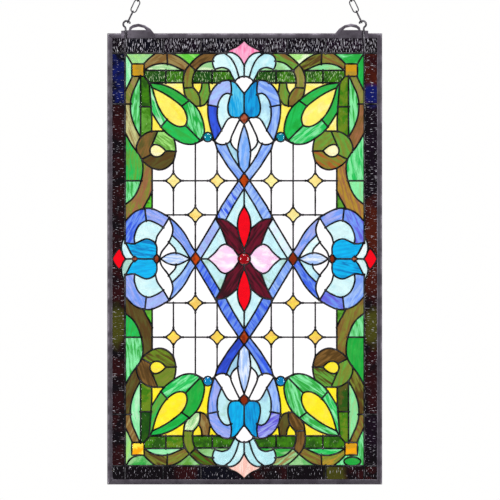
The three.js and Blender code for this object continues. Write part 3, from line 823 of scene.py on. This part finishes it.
def pane_mesh(cell, kind, along_x):
    """One piece of glass in millimetres: x to the right, y up, z towards the viewer."""
    pane = flat_pane(cell)
    if kind == "rippled":
        cut_grid(pane, *((RIPPLE_STEP, RIPPLE_ACROSS) if along_x else (RIPPLE_ACROSS, RIPPLE_STEP)))
    elif kind == "hammered":
        cut_grid(pane, HAMMER_STEP, HAMMER_STEP)
    for vert in pane.verts:
        vert.co.z = GLASS_HALF
        if kind == "rippled":
            vert.co.z += rippled(vert.co.x, vert.co.y, along_x)
        elif kind == "hammered":
            vert.co.z += hammered(vert.co.x, vert.co.y)
    back = bmesh.ops.extrude_face_region(pane, geom=pane.faces[:], use_keep_orig=True)["geom"]
    for vert in corners_in(back):
        vert.co.z = -GLASS_HALF
    bmesh.ops.recalc_face_normals(pane, faces=pane.faces)
    return pane


# radius and height of each gem
DOMES = {NUGGET: (10.9, 5.0), DROP: (8.2, 3.6)}
DOME_BACK = 1.2
DOME_FORWARDS = GLASS_HALF * 0.4


def dome_mesh(x, y, radius, height):
    """A pressed glass gem: high in front and nearly flat behind."""
    gem = bmesh.new()
    bmesh.ops.create_uvsphere(gem, u_segments=40, v_segments=24, radius=radius)
    for vert in gem.verts:
        vert.co.z = vert.co.z / radius * (height if vert.co.z > 0 else DOME_BACK)
    bmesh.ops.translate(gem, verts=gem.verts, vec=(x, y, DOME_FORWARDS))
    return gem


PATCH_EDGE = 1.15
PATCH_FADE = 0.5
PATCH_WANDER = 0.3
PATCH_PITCH = 0.06
PATCH_SEED = 5.0


def patched(colour, spot):
    """A border colour, turned to a patch's colour inside that patch."""
    for (x, y), (reach_x, reach_y), name in PATCHES:
        away = math.hypot((spot.x - x) / reach_x, (spot.y - y) / reach_y)
        away += PATCH_WANDER * uneven(spot.x, spot.y, PATCH_PITCH, PATCH_SEED)
        share = min(1, max(0, (PATCH_EDGE - away) / PATCH_FADE))
        colour = colour.lerp(tint(name), share)
    return colour


# how thickly painted glints (painted highlights) lie on the rolled glass, above and below the middle where
# two are given
STRIP_GLINTS = (0.95, 0.6)
SIDE_GLINTS = 0.62
BAR_GLINTS = (0.85, 0.5)
BAR_LEVELS = (325, 348)
SMALL_GLINTS = 0.3


def painted_glint_density(y, kind, quarter):
    """Painted glints: the top strips and bars get the most painted highlights, the small hammered pieces the
    least.
    """
    half = quarter // 2
    if kind == "rippled":
        return STRIP_GLINTS[half] if y > BORDER_Y else SIDE_GLINTS
    if kind == "hammered":
        return BAR_GLINTS[half] if BAR_LEVELS[0] < y < BAR_LEVELS[1] else SMALL_GLINTS
    return 1.0


GRAIN_SCALE = 0.01
QUARTER_SHIFT = 37.0
ROW_SHIFT = 1.7
CROSS_SHIFT = 0.6


def dress(pane, row, quarter):
    """Gives a pane its two tints and a map that follows its streaks."""
    x, y, kind, angle, *tints = row
    first, second = (tint(name) for name in tints[quarter * len(tints) // 4].split("/"))
    tint_a = pane.verts.layers.float_color.new("tint_a")
    tint_b = pane.verts.layers.float_color.new("tint_b")
    grain = pane.loops.layers.uv.new("grain")
    side, half = QUARTER_SIDES[quarter]
    heading = math.radians(angle) * side * half
    along = Vector((math.cos(heading), math.sin(heading)))
    across = Vector((-along.y, along.x))
    shift = QUARTER_SHIFT * quarter + x * ROW_SHIFT
    # how thickly painted glints lie on the pane, carried in the alpha of tint_a
    density = painted_glint_density(y, kind, quarter)
    for vert in pane.verts:
        vert[tint_a] = (*(patched(first, vert.co) if kind == "rippled" else first), density)
        vert[tint_b] = (*(patched(second, vert.co) if kind == "rippled" else second), 1)
    for face in pane.faces:
        face.smooth = kind in ("rippled", "hammered")
        for loop in face.loops:
            spot = loop.vert.co.xy
            loop[grain].uv = ((spot.dot(along) + shift) * GRAIN_SCALE,
                              (spot.dot(across) + shift * CROSS_SHIFT) * GRAIN_SCALE)


def into_object(name, parts, node, crease=None):
    """Joins bmeshes, listed by their material, into one piece that stands for a CAD node."""
    mesh = bpy.data.meshes.new(name)
    joint = bmesh.new()
    for number, pieces in enumerate(parts.values()):
        for piece in pieces:
            for face in piece.faces:
                face.material_index = number
            part = bpy.data.meshes.new("part")
            piece.to_mesh(part)
            joint.from_mesh(part)
            bpy.data.meshes.remove(part)
            piece.free()
    for vert in joint.verts:
        vert.co = in_panel(*vert.co)
    bmesh.ops.recalc_face_normals(joint, faces=joint.faces)
    joint.to_mesh(mesh)
    joint.free()
    if crease:
        mesh.shade_smooth()
        mesh.set_sharp_from_angle(angle=math.radians(crease))
    for material in parts:
        mesh.materials.append(material)
    piece = bpy.data.objects.new(name, mesh)
    bpy.context.scene.collection.objects.link(piece)
    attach(piece, "root")
    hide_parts(node)


# ------------------------------------------------------------------ solder, channel and chains

BAR_SPACING = 9
BLOB_SPACING = 2.0
BLOB_WIDTH = 1.25
RIM_CLEARANCE = 1
WIDTH_CHANGE = 0.16
WIDTH_PITCH = 0.11
WIDTH_SEED = 3.0


def tube(paths, radius_of, roundness, flatten=1.0):
    """Round bars along the paths ((points, closed) in millimetres), flattened front to back."""
    data = bpy.data.curves.new("tube", "CURVE")
    data.dimensions = "3D"
    data.bevel_depth = 1
    data.bevel_resolution = roundness
    data.use_fill_caps = True
    for points, closed in paths:
        spline = data.splines.new("POLY")
        spline.points.add(len(points) - 1)
        for knot, point in zip(spline.points, points):
            knot.co = (*point, 1)
            knot.radius = radius_of(point)
        spline.use_cyclic_u = closed
    holder = bpy.data.objects.new("tube", data)
    bpy.context.scene.collection.objects.link(holder)
    bpy.context.view_layer.update()
    evaluated = holder.evaluated_get(bpy.context.evaluated_depsgraph_get())
    mesh = bpy.data.meshes.new_from_object(evaluated)
    bpy.data.objects.remove(holder)
    bpy.data.curves.remove(data)
    bar = bmesh.new()
    bar.from_mesh(mesh)
    bpy.data.meshes.remove(mesh)
    for vert in bar.verts:
        vert.co.z *= flatten
    return bar


def solder_bars(whole):
    """All the seams of each width as one mesh. Solder is run by hand, so the width changes along a seam."""
    bars = []
    for half_width in sorted({width for _, width, _ in whole}):
        paths = []
        for path, width, closed in whole:
            if width == half_width:
                points = [Vector((p.x, p.y, 0)) for p in spaced(path, closed, BAR_SPACING)]
                paths.append((points, closed))

        def radius_of(point, width=half_width):
            return width * (1 + WIDTH_CHANGE * uneven(point.x, point.y, WIDTH_PITCH, WIDTH_SEED))

        flatten = SEAM_HALF_DEPTH / half_width / (1 + WIDTH_CHANGE)
        bars.append(tube(paths, radius_of, roundness=2, flatten=flatten))
    return bars


def solder_blobs(whole):
    """The small puddles where seams run together, as one mesh."""
    kept = []
    ends = [(end, width) for path, width, closed in whole if not closed for end in (path[0], path[-1])]
    for end, width in ends:
        if all((end - other).length > BLOB_SPACING for other, _ in kept):
            kept.append((end, width))
    ball = bmesh.new()
    bmesh.ops.create_icosphere(ball, subdivisions=2, radius=1)
    mould = bpy.data.meshes.new("blob mould")
    ball.to_mesh(mould)
    ball.free()
    blobs = bmesh.new()
    for end, width in kept:
        if abs(end.x) > EDGE_X - RIM_CLEARANCE or abs(end.y) > EDGE_Y - RIM_CLEARANCE:
            continue
        size = (width * BLOB_WIDTH, width * BLOB_WIDTH, SEAM_HALF_DEPTH, 1)
        shape = Matrix.Translation((*end, 0)) @ Matrix.Diagonal(size)
        mould.transform(shape)
        blobs.from_mesh(mould)
        mould.transform(shape.inverted())
    bpy.data.meshes.remove(mould)
    return blobs


# the front half of the channel's section: across it from the outer edge, and out from its middle
RAIL_SLOT = 1.75
RAIL_WEB = 2.7
RAIL_HALF_PROFILE = ((0, 2.4), (0.25, 2.95), (0.9, 3.3), (2.2, 3.5), (4.75, 3.6), (7.3, 3.5), (8.6, 3.3),
                     (9.25, 2.95), (9.5, 2.4), (9.4, 1.9), (9.1, RAIL_SLOT), (RAIL_WEB, RAIL_SLOT))
RAIL_CLEARANCE = 0.3


def rail(turn, half_length, half_across):
    """One length of channel, cut at 45 degrees at both ends. It is drawn along the top and then turned."""
    bar = bmesh.new()
    upper = [Vector((-half_length, half_across - u, z)) for u, z in RAIL_HALF_PROFILE]
    lower = [Vector((p.x, p.y, -p.z)) for p in reversed(upper)]
    face = bar.faces.new([bar.verts.new(point) for point in upper + lower])
    grown = bmesh.ops.extrude_face_region(bar, geom=[face], use_keep_orig=True)["geom"]
    bmesh.ops.translate(bar, verts=corners_in(grown), vec=(2 * half_length, 0, 0))
    for side in (-1, 1):
        normal = Vector((side, -1, 0)).normalized()
        place = Vector((side * (half_length - RAIL_CLEARANCE), half_across, 0))
        cut = bmesh.ops.bisect_plane(bar, geom=bar.verts[:] + bar.edges[:] + bar.faces[:], plane_co=place,
                                     plane_no=normal, clear_outer=True)["geom_cut"]
        bmesh.ops.holes_fill(bar, edges=[part for part in cut if isinstance(part, bmesh.types.BMEdge)])
    turned = Matrix.Rotation(math.radians(turn), 3, "Z")
    bmesh.ops.rotate(bar, verts=bar.verts, cent=(0, 0, 0), matrix=turned)
    bmesh.ops.recalc_face_normals(bar, faces=bar.faces)
    return bar


HOOK_WIRE = 3.6
HOOK_SHANK = ((221, 382, 4.7), (221, 390, 4.7), (220.8, 400, 6.6), (220.2, 408, 7.2), (219.5, 418, 7.2))
CURL_X = 217.5
CURL_Y = 432.5
CURL_RADIUS = 6.4
CURL_DEPTH = 7.2
CURL_TURNS = (-65, -20, 25, 70, 115, 150)
HOOK_TAIL = (212.7, 433.7, 7.2)
LINK_WIRE = 2.2
LINK_WIDTH = 12.5
LINK_LENGTH = 26.5
LINK_STEPS = 12
CHAIN_LEAN = 25.5
RING_SIDES = 48


def wire(path, closed, thickness, roundness):
    return tube([(path, closed)], lambda point: thickness / 2, roundness)


def hook(side):
    """A wire hook: a shank that rises in front of the plate, and a curl above it."""
    curl = [(CURL_X + CURL_RADIUS * math.cos(math.radians(turn)),
             CURL_Y + CURL_RADIUS * math.sin(math.radians(turn)), CURL_DEPTH) for turn in CURL_TURNS]
    path = curve(*((side * x, y, z) for x, y, z in (*HOOK_SHANK, *curl, HOOK_TAIL)))
    return wire(path, False, HOOK_WIRE, roundness=6)


def box_centre(node):
    """The middle of a CAD node in panel millimetres: right, up and towards the viewer."""
    low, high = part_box(node)
    middle = ((low + high) / 2 - CENTRE) / MM
    return Vector((middle.x, middle.z, -middle.y))


def link(node, side, flat):
    """A welded oval link, which lies flat to the panel or edge on to it."""
    middle = box_centre(node)
    lean = math.radians(CHAIN_LEAN)
    upward = Vector((-side * math.sin(lean), math.cos(lean), 0))
    across = Vector((upward.y, -upward.x, 0)) if flat else Vector((0, 0, 1))
    bend = (LINK_WIDTH - LINK_WIRE) / 2
    straight = (LINK_LENGTH - LINK_WIRE) / 2 - bend
    path = []
    for end in (1, -1):
        for step in range(LINK_STEPS + 1):
            turn = math.pi * step / LINK_STEPS
            reach = upward * (straight + bend * math.sin(turn)) + across * bend * math.cos(turn)
            path.append(middle + end * reach)
    return wire(path, True, LINK_WIRE, roundness=4)


def end_ring(node):
    """The round ring at the end of a chain, as thick and as wide as its CAD node's box."""
    low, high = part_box(node)
    thickness = (high.y - low.y) / MM
    radius = (high.x - low.x) / MM / 2 - thickness / 2
    middle = box_centre(node)
    path = [Vector((*point, middle.z)) for point in circle(middle.x, middle.y, radius, RING_SIDES)]
    return wire(path, True, thickness, roundness=5)


PLATE_OUTLINE = ((228, 407), (228, 421), (214, 422), (212.5, 427.5), (206, 432), (196, 434), (184, 431),
                 (174, 424.5), (167, 416), (166, 407))
PLATE_OPENING = ((210, 422.3), (206.5, 426), (196, 428.5), (186, 426.3), (182, 422.3))
PLATE_BACK = 3.9
PLATE_THICKNESS = 1.2
PLATE_ROUNDING = 0.35
FLAT_ANGLE = 0.02
SHARP_ANGLE = 0.9


def hanger_plate(side):
    """A stamped plate with an eye, soldered to the front of the top rail."""
    plate = bmesh.new()
    edges = []
    for outline in (PLATE_OUTLINE, PLATE_OPENING):
        verts = [plate.verts.new((side * x, y, PLATE_BACK)) for x, y in outline]
        edges += [plate.edges.new(pair) for pair in stretches(verts, True)]
    bmesh.ops.triangle_fill(plate, edges=edges, use_dissolve=False)
    bmesh.ops.recalc_face_normals(plate, faces=plate.faces)
    grown = bmesh.ops.extrude_face_region(plate, geom=plate.faces[:], use_keep_orig=True)["geom"]
    bmesh.ops.translate(plate, verts=corners_in(grown), vec=(0, 0, PLATE_THICKNESS))
    bmesh.ops.dissolve_limit(plate, angle_limit=FLAT_ANGLE, verts=plate.verts, edges=plate.edges)
    rims = [edge for edge in plate.edges if edge.is_manifold and edge.calc_face_angle(0) > SHARP_ANGLE]
    bmesh.ops.bevel(plate, geom=rims, offset=PLATE_ROUNDING, segments=2, affect="EDGES", profile=0.5,
                    clamp_overlap=True)
    return plate


# ------------------------------------------------------------------ materials


def group_with(name, inputs, outputs):
    """A node group that works on numbers, with what it is given and what it has to fill."""
    group = bpy.data.node_groups.new(name, "ShaderNodeTree")
    for label, value in inputs.items():
        given = group.interface.new_socket(label, in_out="INPUT", socket_type="NodeSocketFloat")
        given.default_value = value
    for label in outputs:
        group.interface.new_socket(label, in_out="OUTPUT", socket_type="NodeSocketFloat")
    return group, group.nodes.new("NodeGroupInput").outputs, group.nodes.new("NodeGroupOutput").inputs


def add(tree, kind, inputs=None, **settings):
    """Adds a shader node with its options, and fills its inputs, by name or number, with values or links."""
    node = tree.nodes.new(f"ShaderNode{kind}")
    for key, value in settings.items():
        setattr(node, key, value)
    for key, value in (inputs or {}).items():
        if isinstance(value, bpy.types.NodeSocket):
            tree.links.new(value, node.inputs[key])
        else:
            node.inputs[key].default_value = value
    return node


def clouds(tree, place, scale, detail, roughness=0.5, distortion=0.0):
    inputs = {"Vector": place, "Scale": scale, "Detail": detail, "Roughness": roughness,
              "Distortion": distortion}
    return add(tree, "TexNoise", inputs).outputs["Fac"]


def mapped(tree, value, low, high, new_low=0.0, new_high=1.0, smooth=False):
    """Spreads what lies between low and high between two new limits."""
    steps = "SMOOTHSTEP" if smooth else "LINEAR"
    inputs = {0: value, 1: low, 2: high, 3: new_low, 4: new_high}
    return add(tree, "MapRange", inputs, interpolation_type=steps).outputs["Result"]


def mixed(tree, share, first, second, **settings):
    """Mixes two colours."""
    return add(tree, "Mix", {0: share, 6: first, 7: second}, data_type="RGBA", **settings).outputs[2]


def times(tree, first, second):
    return add(tree, "Math", {0: first, 1: second}, operation="MULTIPLY").outputs[0]


def object_place(tree):
    return add(tree, "TexCoord").outputs["Object"]


def grain_place(group, given):
    """The pane's own map, stretched along and across its grain."""
    grain = add(group, "UVMap", uv_map="grain").outputs["UV"]
    stretch = add(group, "CombineXYZ", {"X": given["Along"], "Y": given["Across"], "Z": 1.0}).outputs[0]
    return add(group, "VectorMath", {0: grain, 1: stretch}, operation="MULTIPLY").outputs[0]


VEIN_EDGES = (0.6, 0.74)
# the noise that a painted glint starts from, where there are fewest and where there are most
GLINT_LIMITS = (0.8, 0.56)
GLINT_EDGE = 0.07


def streak_group():
    """Masks in the glass: broad streaks that run along the grain, thin veins, and a soft mottle."""
    group, given, result = group_with(
        "glass grain", {"Along": 2.5, "Across": 20.0, "Low": 0.4, "High": 0.6}, ("Streak", "Vein", "Mottle"))
    place = grain_place(group, given)
    broad = clouds(group, place, scale=1.0, detail=3.0, roughness=0.55, distortion=0.7)
    thin = clouds(group, place, scale=2.3, detail=2.0, distortion=1.2)
    masks = {"Streak": mapped(group, broad, given["Low"], given["High"], smooth=True),
             "Vein": mapped(group, thin, *VEIN_EDGES, smooth=True),
             "Mottle": clouds(group, object_place(group), scale=90.0, detail=2.0)}
    for label, mask in masks.items():
        group.links.new(mask, result[label])
    return group


def painted_glint_group():
    """Painted glints: bright dashes painted into the colour, standing for light that the rolled glass
    catches; more of them as the density rises.
    """
    group, given, result = group_with(
        "glass glints", {"Along": 12.0, "Across": 38.0, "Density": 0.5}, ("Glint",))
    spots = clouds(group, grain_place(group, given), scale=1.0, detail=1.0, roughness=0.4, distortion=0.15)
    low = mapped(group, given["Density"], 0.0, 1.0, *GLINT_LIMITS)
    high = add(group, "Math", {0: low, 1: GLINT_EDGE}, operation="ADD").outputs[0]
    group.links.new(mapped(group, spots, low, high, smooth=True), result["Glint"])
    return group


GRAIN = streak_group()
PAINTED_GLINTS = painted_glint_group()
# how the painted glints run along and across, and the colour of their painted highlights
GLINT_RUNS = {
    "rippled": (13.0, 72.0, (0.58, 0.56, 0.62, 1)),
    "hammered": (14.0, 74.0, (0.62, 0.76, 0.46, 1)),
}
GLINT_STRENGTH = 0.8
VEIN_LIFT = (3.0, 3.0, 3.0, 1)
CLOUD_RANGE = (0.3, 0.7)
MOTTLE = (0.9, 1.05)
CLEAR_MOTTLE = (0.97, 1.0)
GLASS_IOR = 1.5
GLASS_WAVE = 0.0006
METAL_WAVE = 0.0004
METAL_EDGES = (0.38, 0.64)
# how much rougher the dark metal is than the middle, and how much smoother the light
DULLER = 0.12
SHINIER = 0.08

# kind: roughness, transmission, streak run along and across, low and high edge of the streaks,
# strength of pale veins, bump height
GLASS_KINDS = {
    "rippled": (0.06, 1.0, 3.0, 3.0, 0.35, 0.65, 0.0, 0.0),
    "hammered": (0.05, 1.0, 6.0, 6.0, 0.4, 0.6, 0.0, 0.0),
    "streaky": (0.28, 0.97, 3.0, 22.0, 0.42, 0.62, 0.16, 0.25),
    "wispy": (0.35, 0.94, 3.0, 7.0, 0.42, 0.68, 0.08, 0.2),
    "clear": (0.12, 1.0, 2.0, 3.0, 0.4, 0.7, 0.0, 0.15),
    "smooth": (0.08, 1.0, 2.0, 4.0, 0.45, 0.7, 0.0, 0.12),
}


def new_material(name):
    material = bpy.data.materials.new(name)
    material.use_nodes = True
    tree = material.node_tree
    return material, tree, tree.nodes["Principled BSDF"].inputs


def bumpy(tree, surface, strength, distance, height):
    """Lets a height pattern catch the light on a material's surface."""
    bump = add(tree, "Bump", {"Strength": strength, "Distance": distance, "Height": height})
    tree.links.new(bump.outputs["Normal"], surface["Normal"])


def glass_material(kind):
    roughness, transmission, along, across, low, high, veins, bump_height = GLASS_KINDS[kind]
    material, tree, surface = new_material(f"{kind} glass")
    run = {"Along": along, "Across": across, "Low": low, "High": high}
    grain = add(tree, "Group", run, node_tree=GRAIN).outputs
    first, second = (add(tree, "Attribute", attribute_name=name).outputs for name in ("tint_a", "tint_b"))
    streaked = mixed(tree, grain["Streak"], first["Color"], second["Color"])
    lifted = mixed(tree, 1.0, streaked, VEIN_LIFT, blend_type="MULTIPLY", clamp_result=True)
    veined = mixed(tree, times(tree, grain["Vein"], veins), streaked, lifted)
    level = mapped(tree, grain["Mottle"], *CLOUD_RANGE, *(CLEAR_MOTTLE if kind == "clear" else MOTTLE))
    colour = mixed(tree, 1.0, veined, level, blend_type="MULTIPLY")
    # painted highlights: light dashes of painted glint mixed over the base colour
    if kind in GLINT_RUNS:
        run_along, run_across, light = GLINT_RUNS[kind]
        run = {"Along": run_along, "Across": run_across, "Density": first["Alpha"]}
        painted_glint = add(tree, "Group", run, node_tree=PAINTED_GLINTS).outputs["Glint"]
        colour = mixed(tree, times(tree, painted_glint, GLINT_STRENGTH), colour, light)
    tree.links.new(colour, surface["Base Color"])
    surface["Roughness"].default_value = roughness
    surface["Transmission Weight"].default_value = transmission
    surface["IOR"].default_value = GLASS_IOR
    if bump_height:
        waves = clouds(tree, object_place(tree), scale=60.0, detail=1.0)
        bumpy(tree, surface, bump_height, GLASS_WAVE, waves)
    return material


def metal_material(name, dark, light, roughness, scale, bump_height):
    """Dull metal, clouded from dark to light, and smoother where it is light."""
    material, tree, surface = new_material(name)
    place = object_place(tree)
    worn = clouds(tree, place, scale, detail=5.0, roughness=0.6)
    colour = mixed(tree, mapped(tree, worn, *METAL_EDGES, smooth=True), (*dark, 1), (*light, 1))
    dullness = mapped(tree, worn, *CLOUD_RANGE, roughness + DULLER, roughness - SHINIER)
    tree.links.new(colour, surface["Base Color"])
    tree.links.new(dullness, surface["Roughness"])
    surface["Metallic"].default_value = 1.0
    bumpy(tree, surface, bump_height, METAL_WAVE, clouds(tree, place, scale * 5, detail=3.0))
    return material


GLASS = {kind: glass_material(kind) for kind in GLASS_KINDS}
SOLDER = metal_material("dark solder", (0.012, 0.012, 0.014), (0.075, 0.07, 0.078), roughness=0.42,
                        scale=90, bump_height=0.35)
ZINC = metal_material("dark zinc channel", (0.07, 0.06, 0.075), (0.14, 0.125, 0.15), roughness=0.46,
                      scale=40, bump_height=0.15)
WIRE = metal_material("dark wire", (0.06, 0.055, 0.065), (0.18, 0.17, 0.19), roughness=0.4,
                      scale=120, bump_height=0.2)

# ------------------------------------------------------------------ building it all

# a pane's node is looked for under its largest triangles
TRIED = 6


def made_panes(cells):
    """Every pane of glass, listed by the CAD node that it stands for and by its material."""
    trees = pane_trees()
    panes = {}
    for index, (row, quarter) in glazed(cells).items():
        largest = sorted(cells[index], key=area_of, reverse=True)[:TRIED]
        node = next(filter(None, (node_under(middle_of(triangle), trees) for triangle in largest)))
        x, y, kind = row[:3]
        if (x, y) in DOMES:
            side, half = QUARTER_SIDES[quarter]
            pane = dome_mesh(*placed((x, y), side, half), *DOMES[(x, y)])
        else:
            pane = pane_mesh(cells[index], kind, y > BORDER_Y)
        dress(pane, row, quarter)
        panes.setdefault(node, {}).setdefault(GLASS[kind], []).append(pane)
    return panes


all_seams = joined(laid_seams())
for node, parts in made_panes(glass_cells(all_seams)).items():
    into_object(f"panes_of_{node}", parts, node)
solder = [*solder_bars(all_seams), solder_blobs(all_seams)]
into_object("solder_lines", {SOLDER: solder}, "solder_net", crease=50)
for name, turn, half_length, half_across in (("top", 0, HALF_WIDTH, HALF_HEIGHT),
                                             ("right", -90, HALF_HEIGHT, HALF_WIDTH),
                                             ("bottom", 180, HALF_WIDTH, HALF_HEIGHT),
                                             ("left", 90, HALF_HEIGHT, HALF_WIDTH)):
    into_object(f"channel_{name}", {ZINC: [rail(turn, half_length, half_across)]}, f"rail_{name}",
                crease=32)
for side, name in ((-1, "left"), (1, "right")):
    into_object(f"plate_{name}", {ZINC: [hanger_plate(side)]}, f"hanger_plate_{name}",
                crease=30)
    into_object(f"hook_wire_{name}", {WIRE: [hook(side)]}, f"hook_{name}", crease=60)
    for number in (1, 2, 3):
        node = f"chain_link_{name}_{number}"
        into_object(f"link_{name}_{number}", {WIRE: [link(node, side, number == 2)]}, node,
                    crease=60)
    node = f"end_ring_{name}"
    into_object(f"ring_{name}", {WIRE: [end_ring(node)]}, node, crease=60)

# ------------------------------------------------------------------ floor, light and camera

FLOOR_SIZE = (1.6, 1.2)
FLOOR_DROP = 0.25
FLOOR_COLOUR = (0.82, 0.81, 0.8, 1)
FLOOR_ROUGHNESS = 0.7
SKY_COLOUR = (1, 0.998, 0.995, 1)
# how bright the surroundings are: seen directly, through the glass, and as they light the panel
SKY_SEEN = 1.0
SKY_THROUGH_GLASS = 1.14
SKY_LIGHT = 0.13

scene = bpy.context.scene
scene.view_settings.view_transform = "Standard"

bpy.ops.mesh.primitive_plane_add(size=1)
floor = bpy.context.object
floor.name = "floor"
for vert in floor.data.vertices:
    vert.co = Vector((vert.co.x * FLOOR_SIZE[0], vert.co.y * FLOOR_SIZE[1], cad_box[0][2] - FLOOR_DROP))
pale, _, pale_surface = new_material("pale floor")
pale_surface["Base Color"].default_value = FLOOR_COLOUR
pale_surface["Roughness"].default_value = FLOOR_ROUGHNESS
floor.data.materials.append(pale)

world = bpy.data.worlds.new("pale surroundings")
scene.world = world
world.use_nodes = True
sky = world.node_tree
behind = sky.nodes["Background"].inputs
behind["Color"].default_value = SKY_COLOUR
ray = add(sky, "LightPath").outputs
through = mapped(sky, ray["Is Transmission Ray"], 0.0, 1.0, SKY_LIGHT, SKY_THROUGH_GLASS)
level = add(sky, "Mix", {0: ray["Is Camera Ray"], 2: through, 3: SKY_SEEN}).outputs[0]
sky.links.new(level, behind["Strength"])


def strip_light(name, place, width, height, power):
    """A rectangular lamp that faces the panel, and that isn't seen through the glass."""
    data = bpy.data.lights.new(name, "AREA")
    data.shape = "RECTANGLE"
    data.size = width
    data.size_y = height
    data.energy = power
    lamp = bpy.data.objects.new(name, data)
    scene.collection.objects.link(lamp)
    lamp.location = place
    lamp.visible_transmission = False
    lamp.rotation_euler = (CENTRE - Vector(place)).to_track_quat("-Z", "Y").to_euler()


strip_light("left strip", (-1.5, -2.1, PANEL_Z), width=0.25, height=1.6, power=30)
strip_light("right strip", (1.7, -1.9, PANEL_Z), width=0.25, height=1.6, power=26)
strip_light("high strip", (0.2, -1.6, PANEL_Z + 1.7), width=1.4, height=0.3, power=30)
strip_light("back light", (0, 2.4, PANEL_Z + 2.0), width=0.9, height=0.5, power=8)

CAMERA_DISTANCE = 4.0
CAMERA_X = 0.0098
CAMERA_RISE = 0.0164
SENSOR = 36.0
VIEW_WIDTH = 0.92365
lens = bpy.data.cameras.new("camera")
lens.sensor_width = SENSOR
lens.lens = SENSOR * CAMERA_DISTANCE / VIEW_WIDTH
lens.clip_end = 50
camera = bpy.data.objects.new("camera", lens)
scene.collection.objects.link(camera)
camera.location = (CAMERA_X, PANEL_Y - CAMERA_DISTANCE, PANEL_Z + CAMERA_RISE)
camera.rotation_euler = (math.pi / 2, 0, 0)
scene.camera = camera
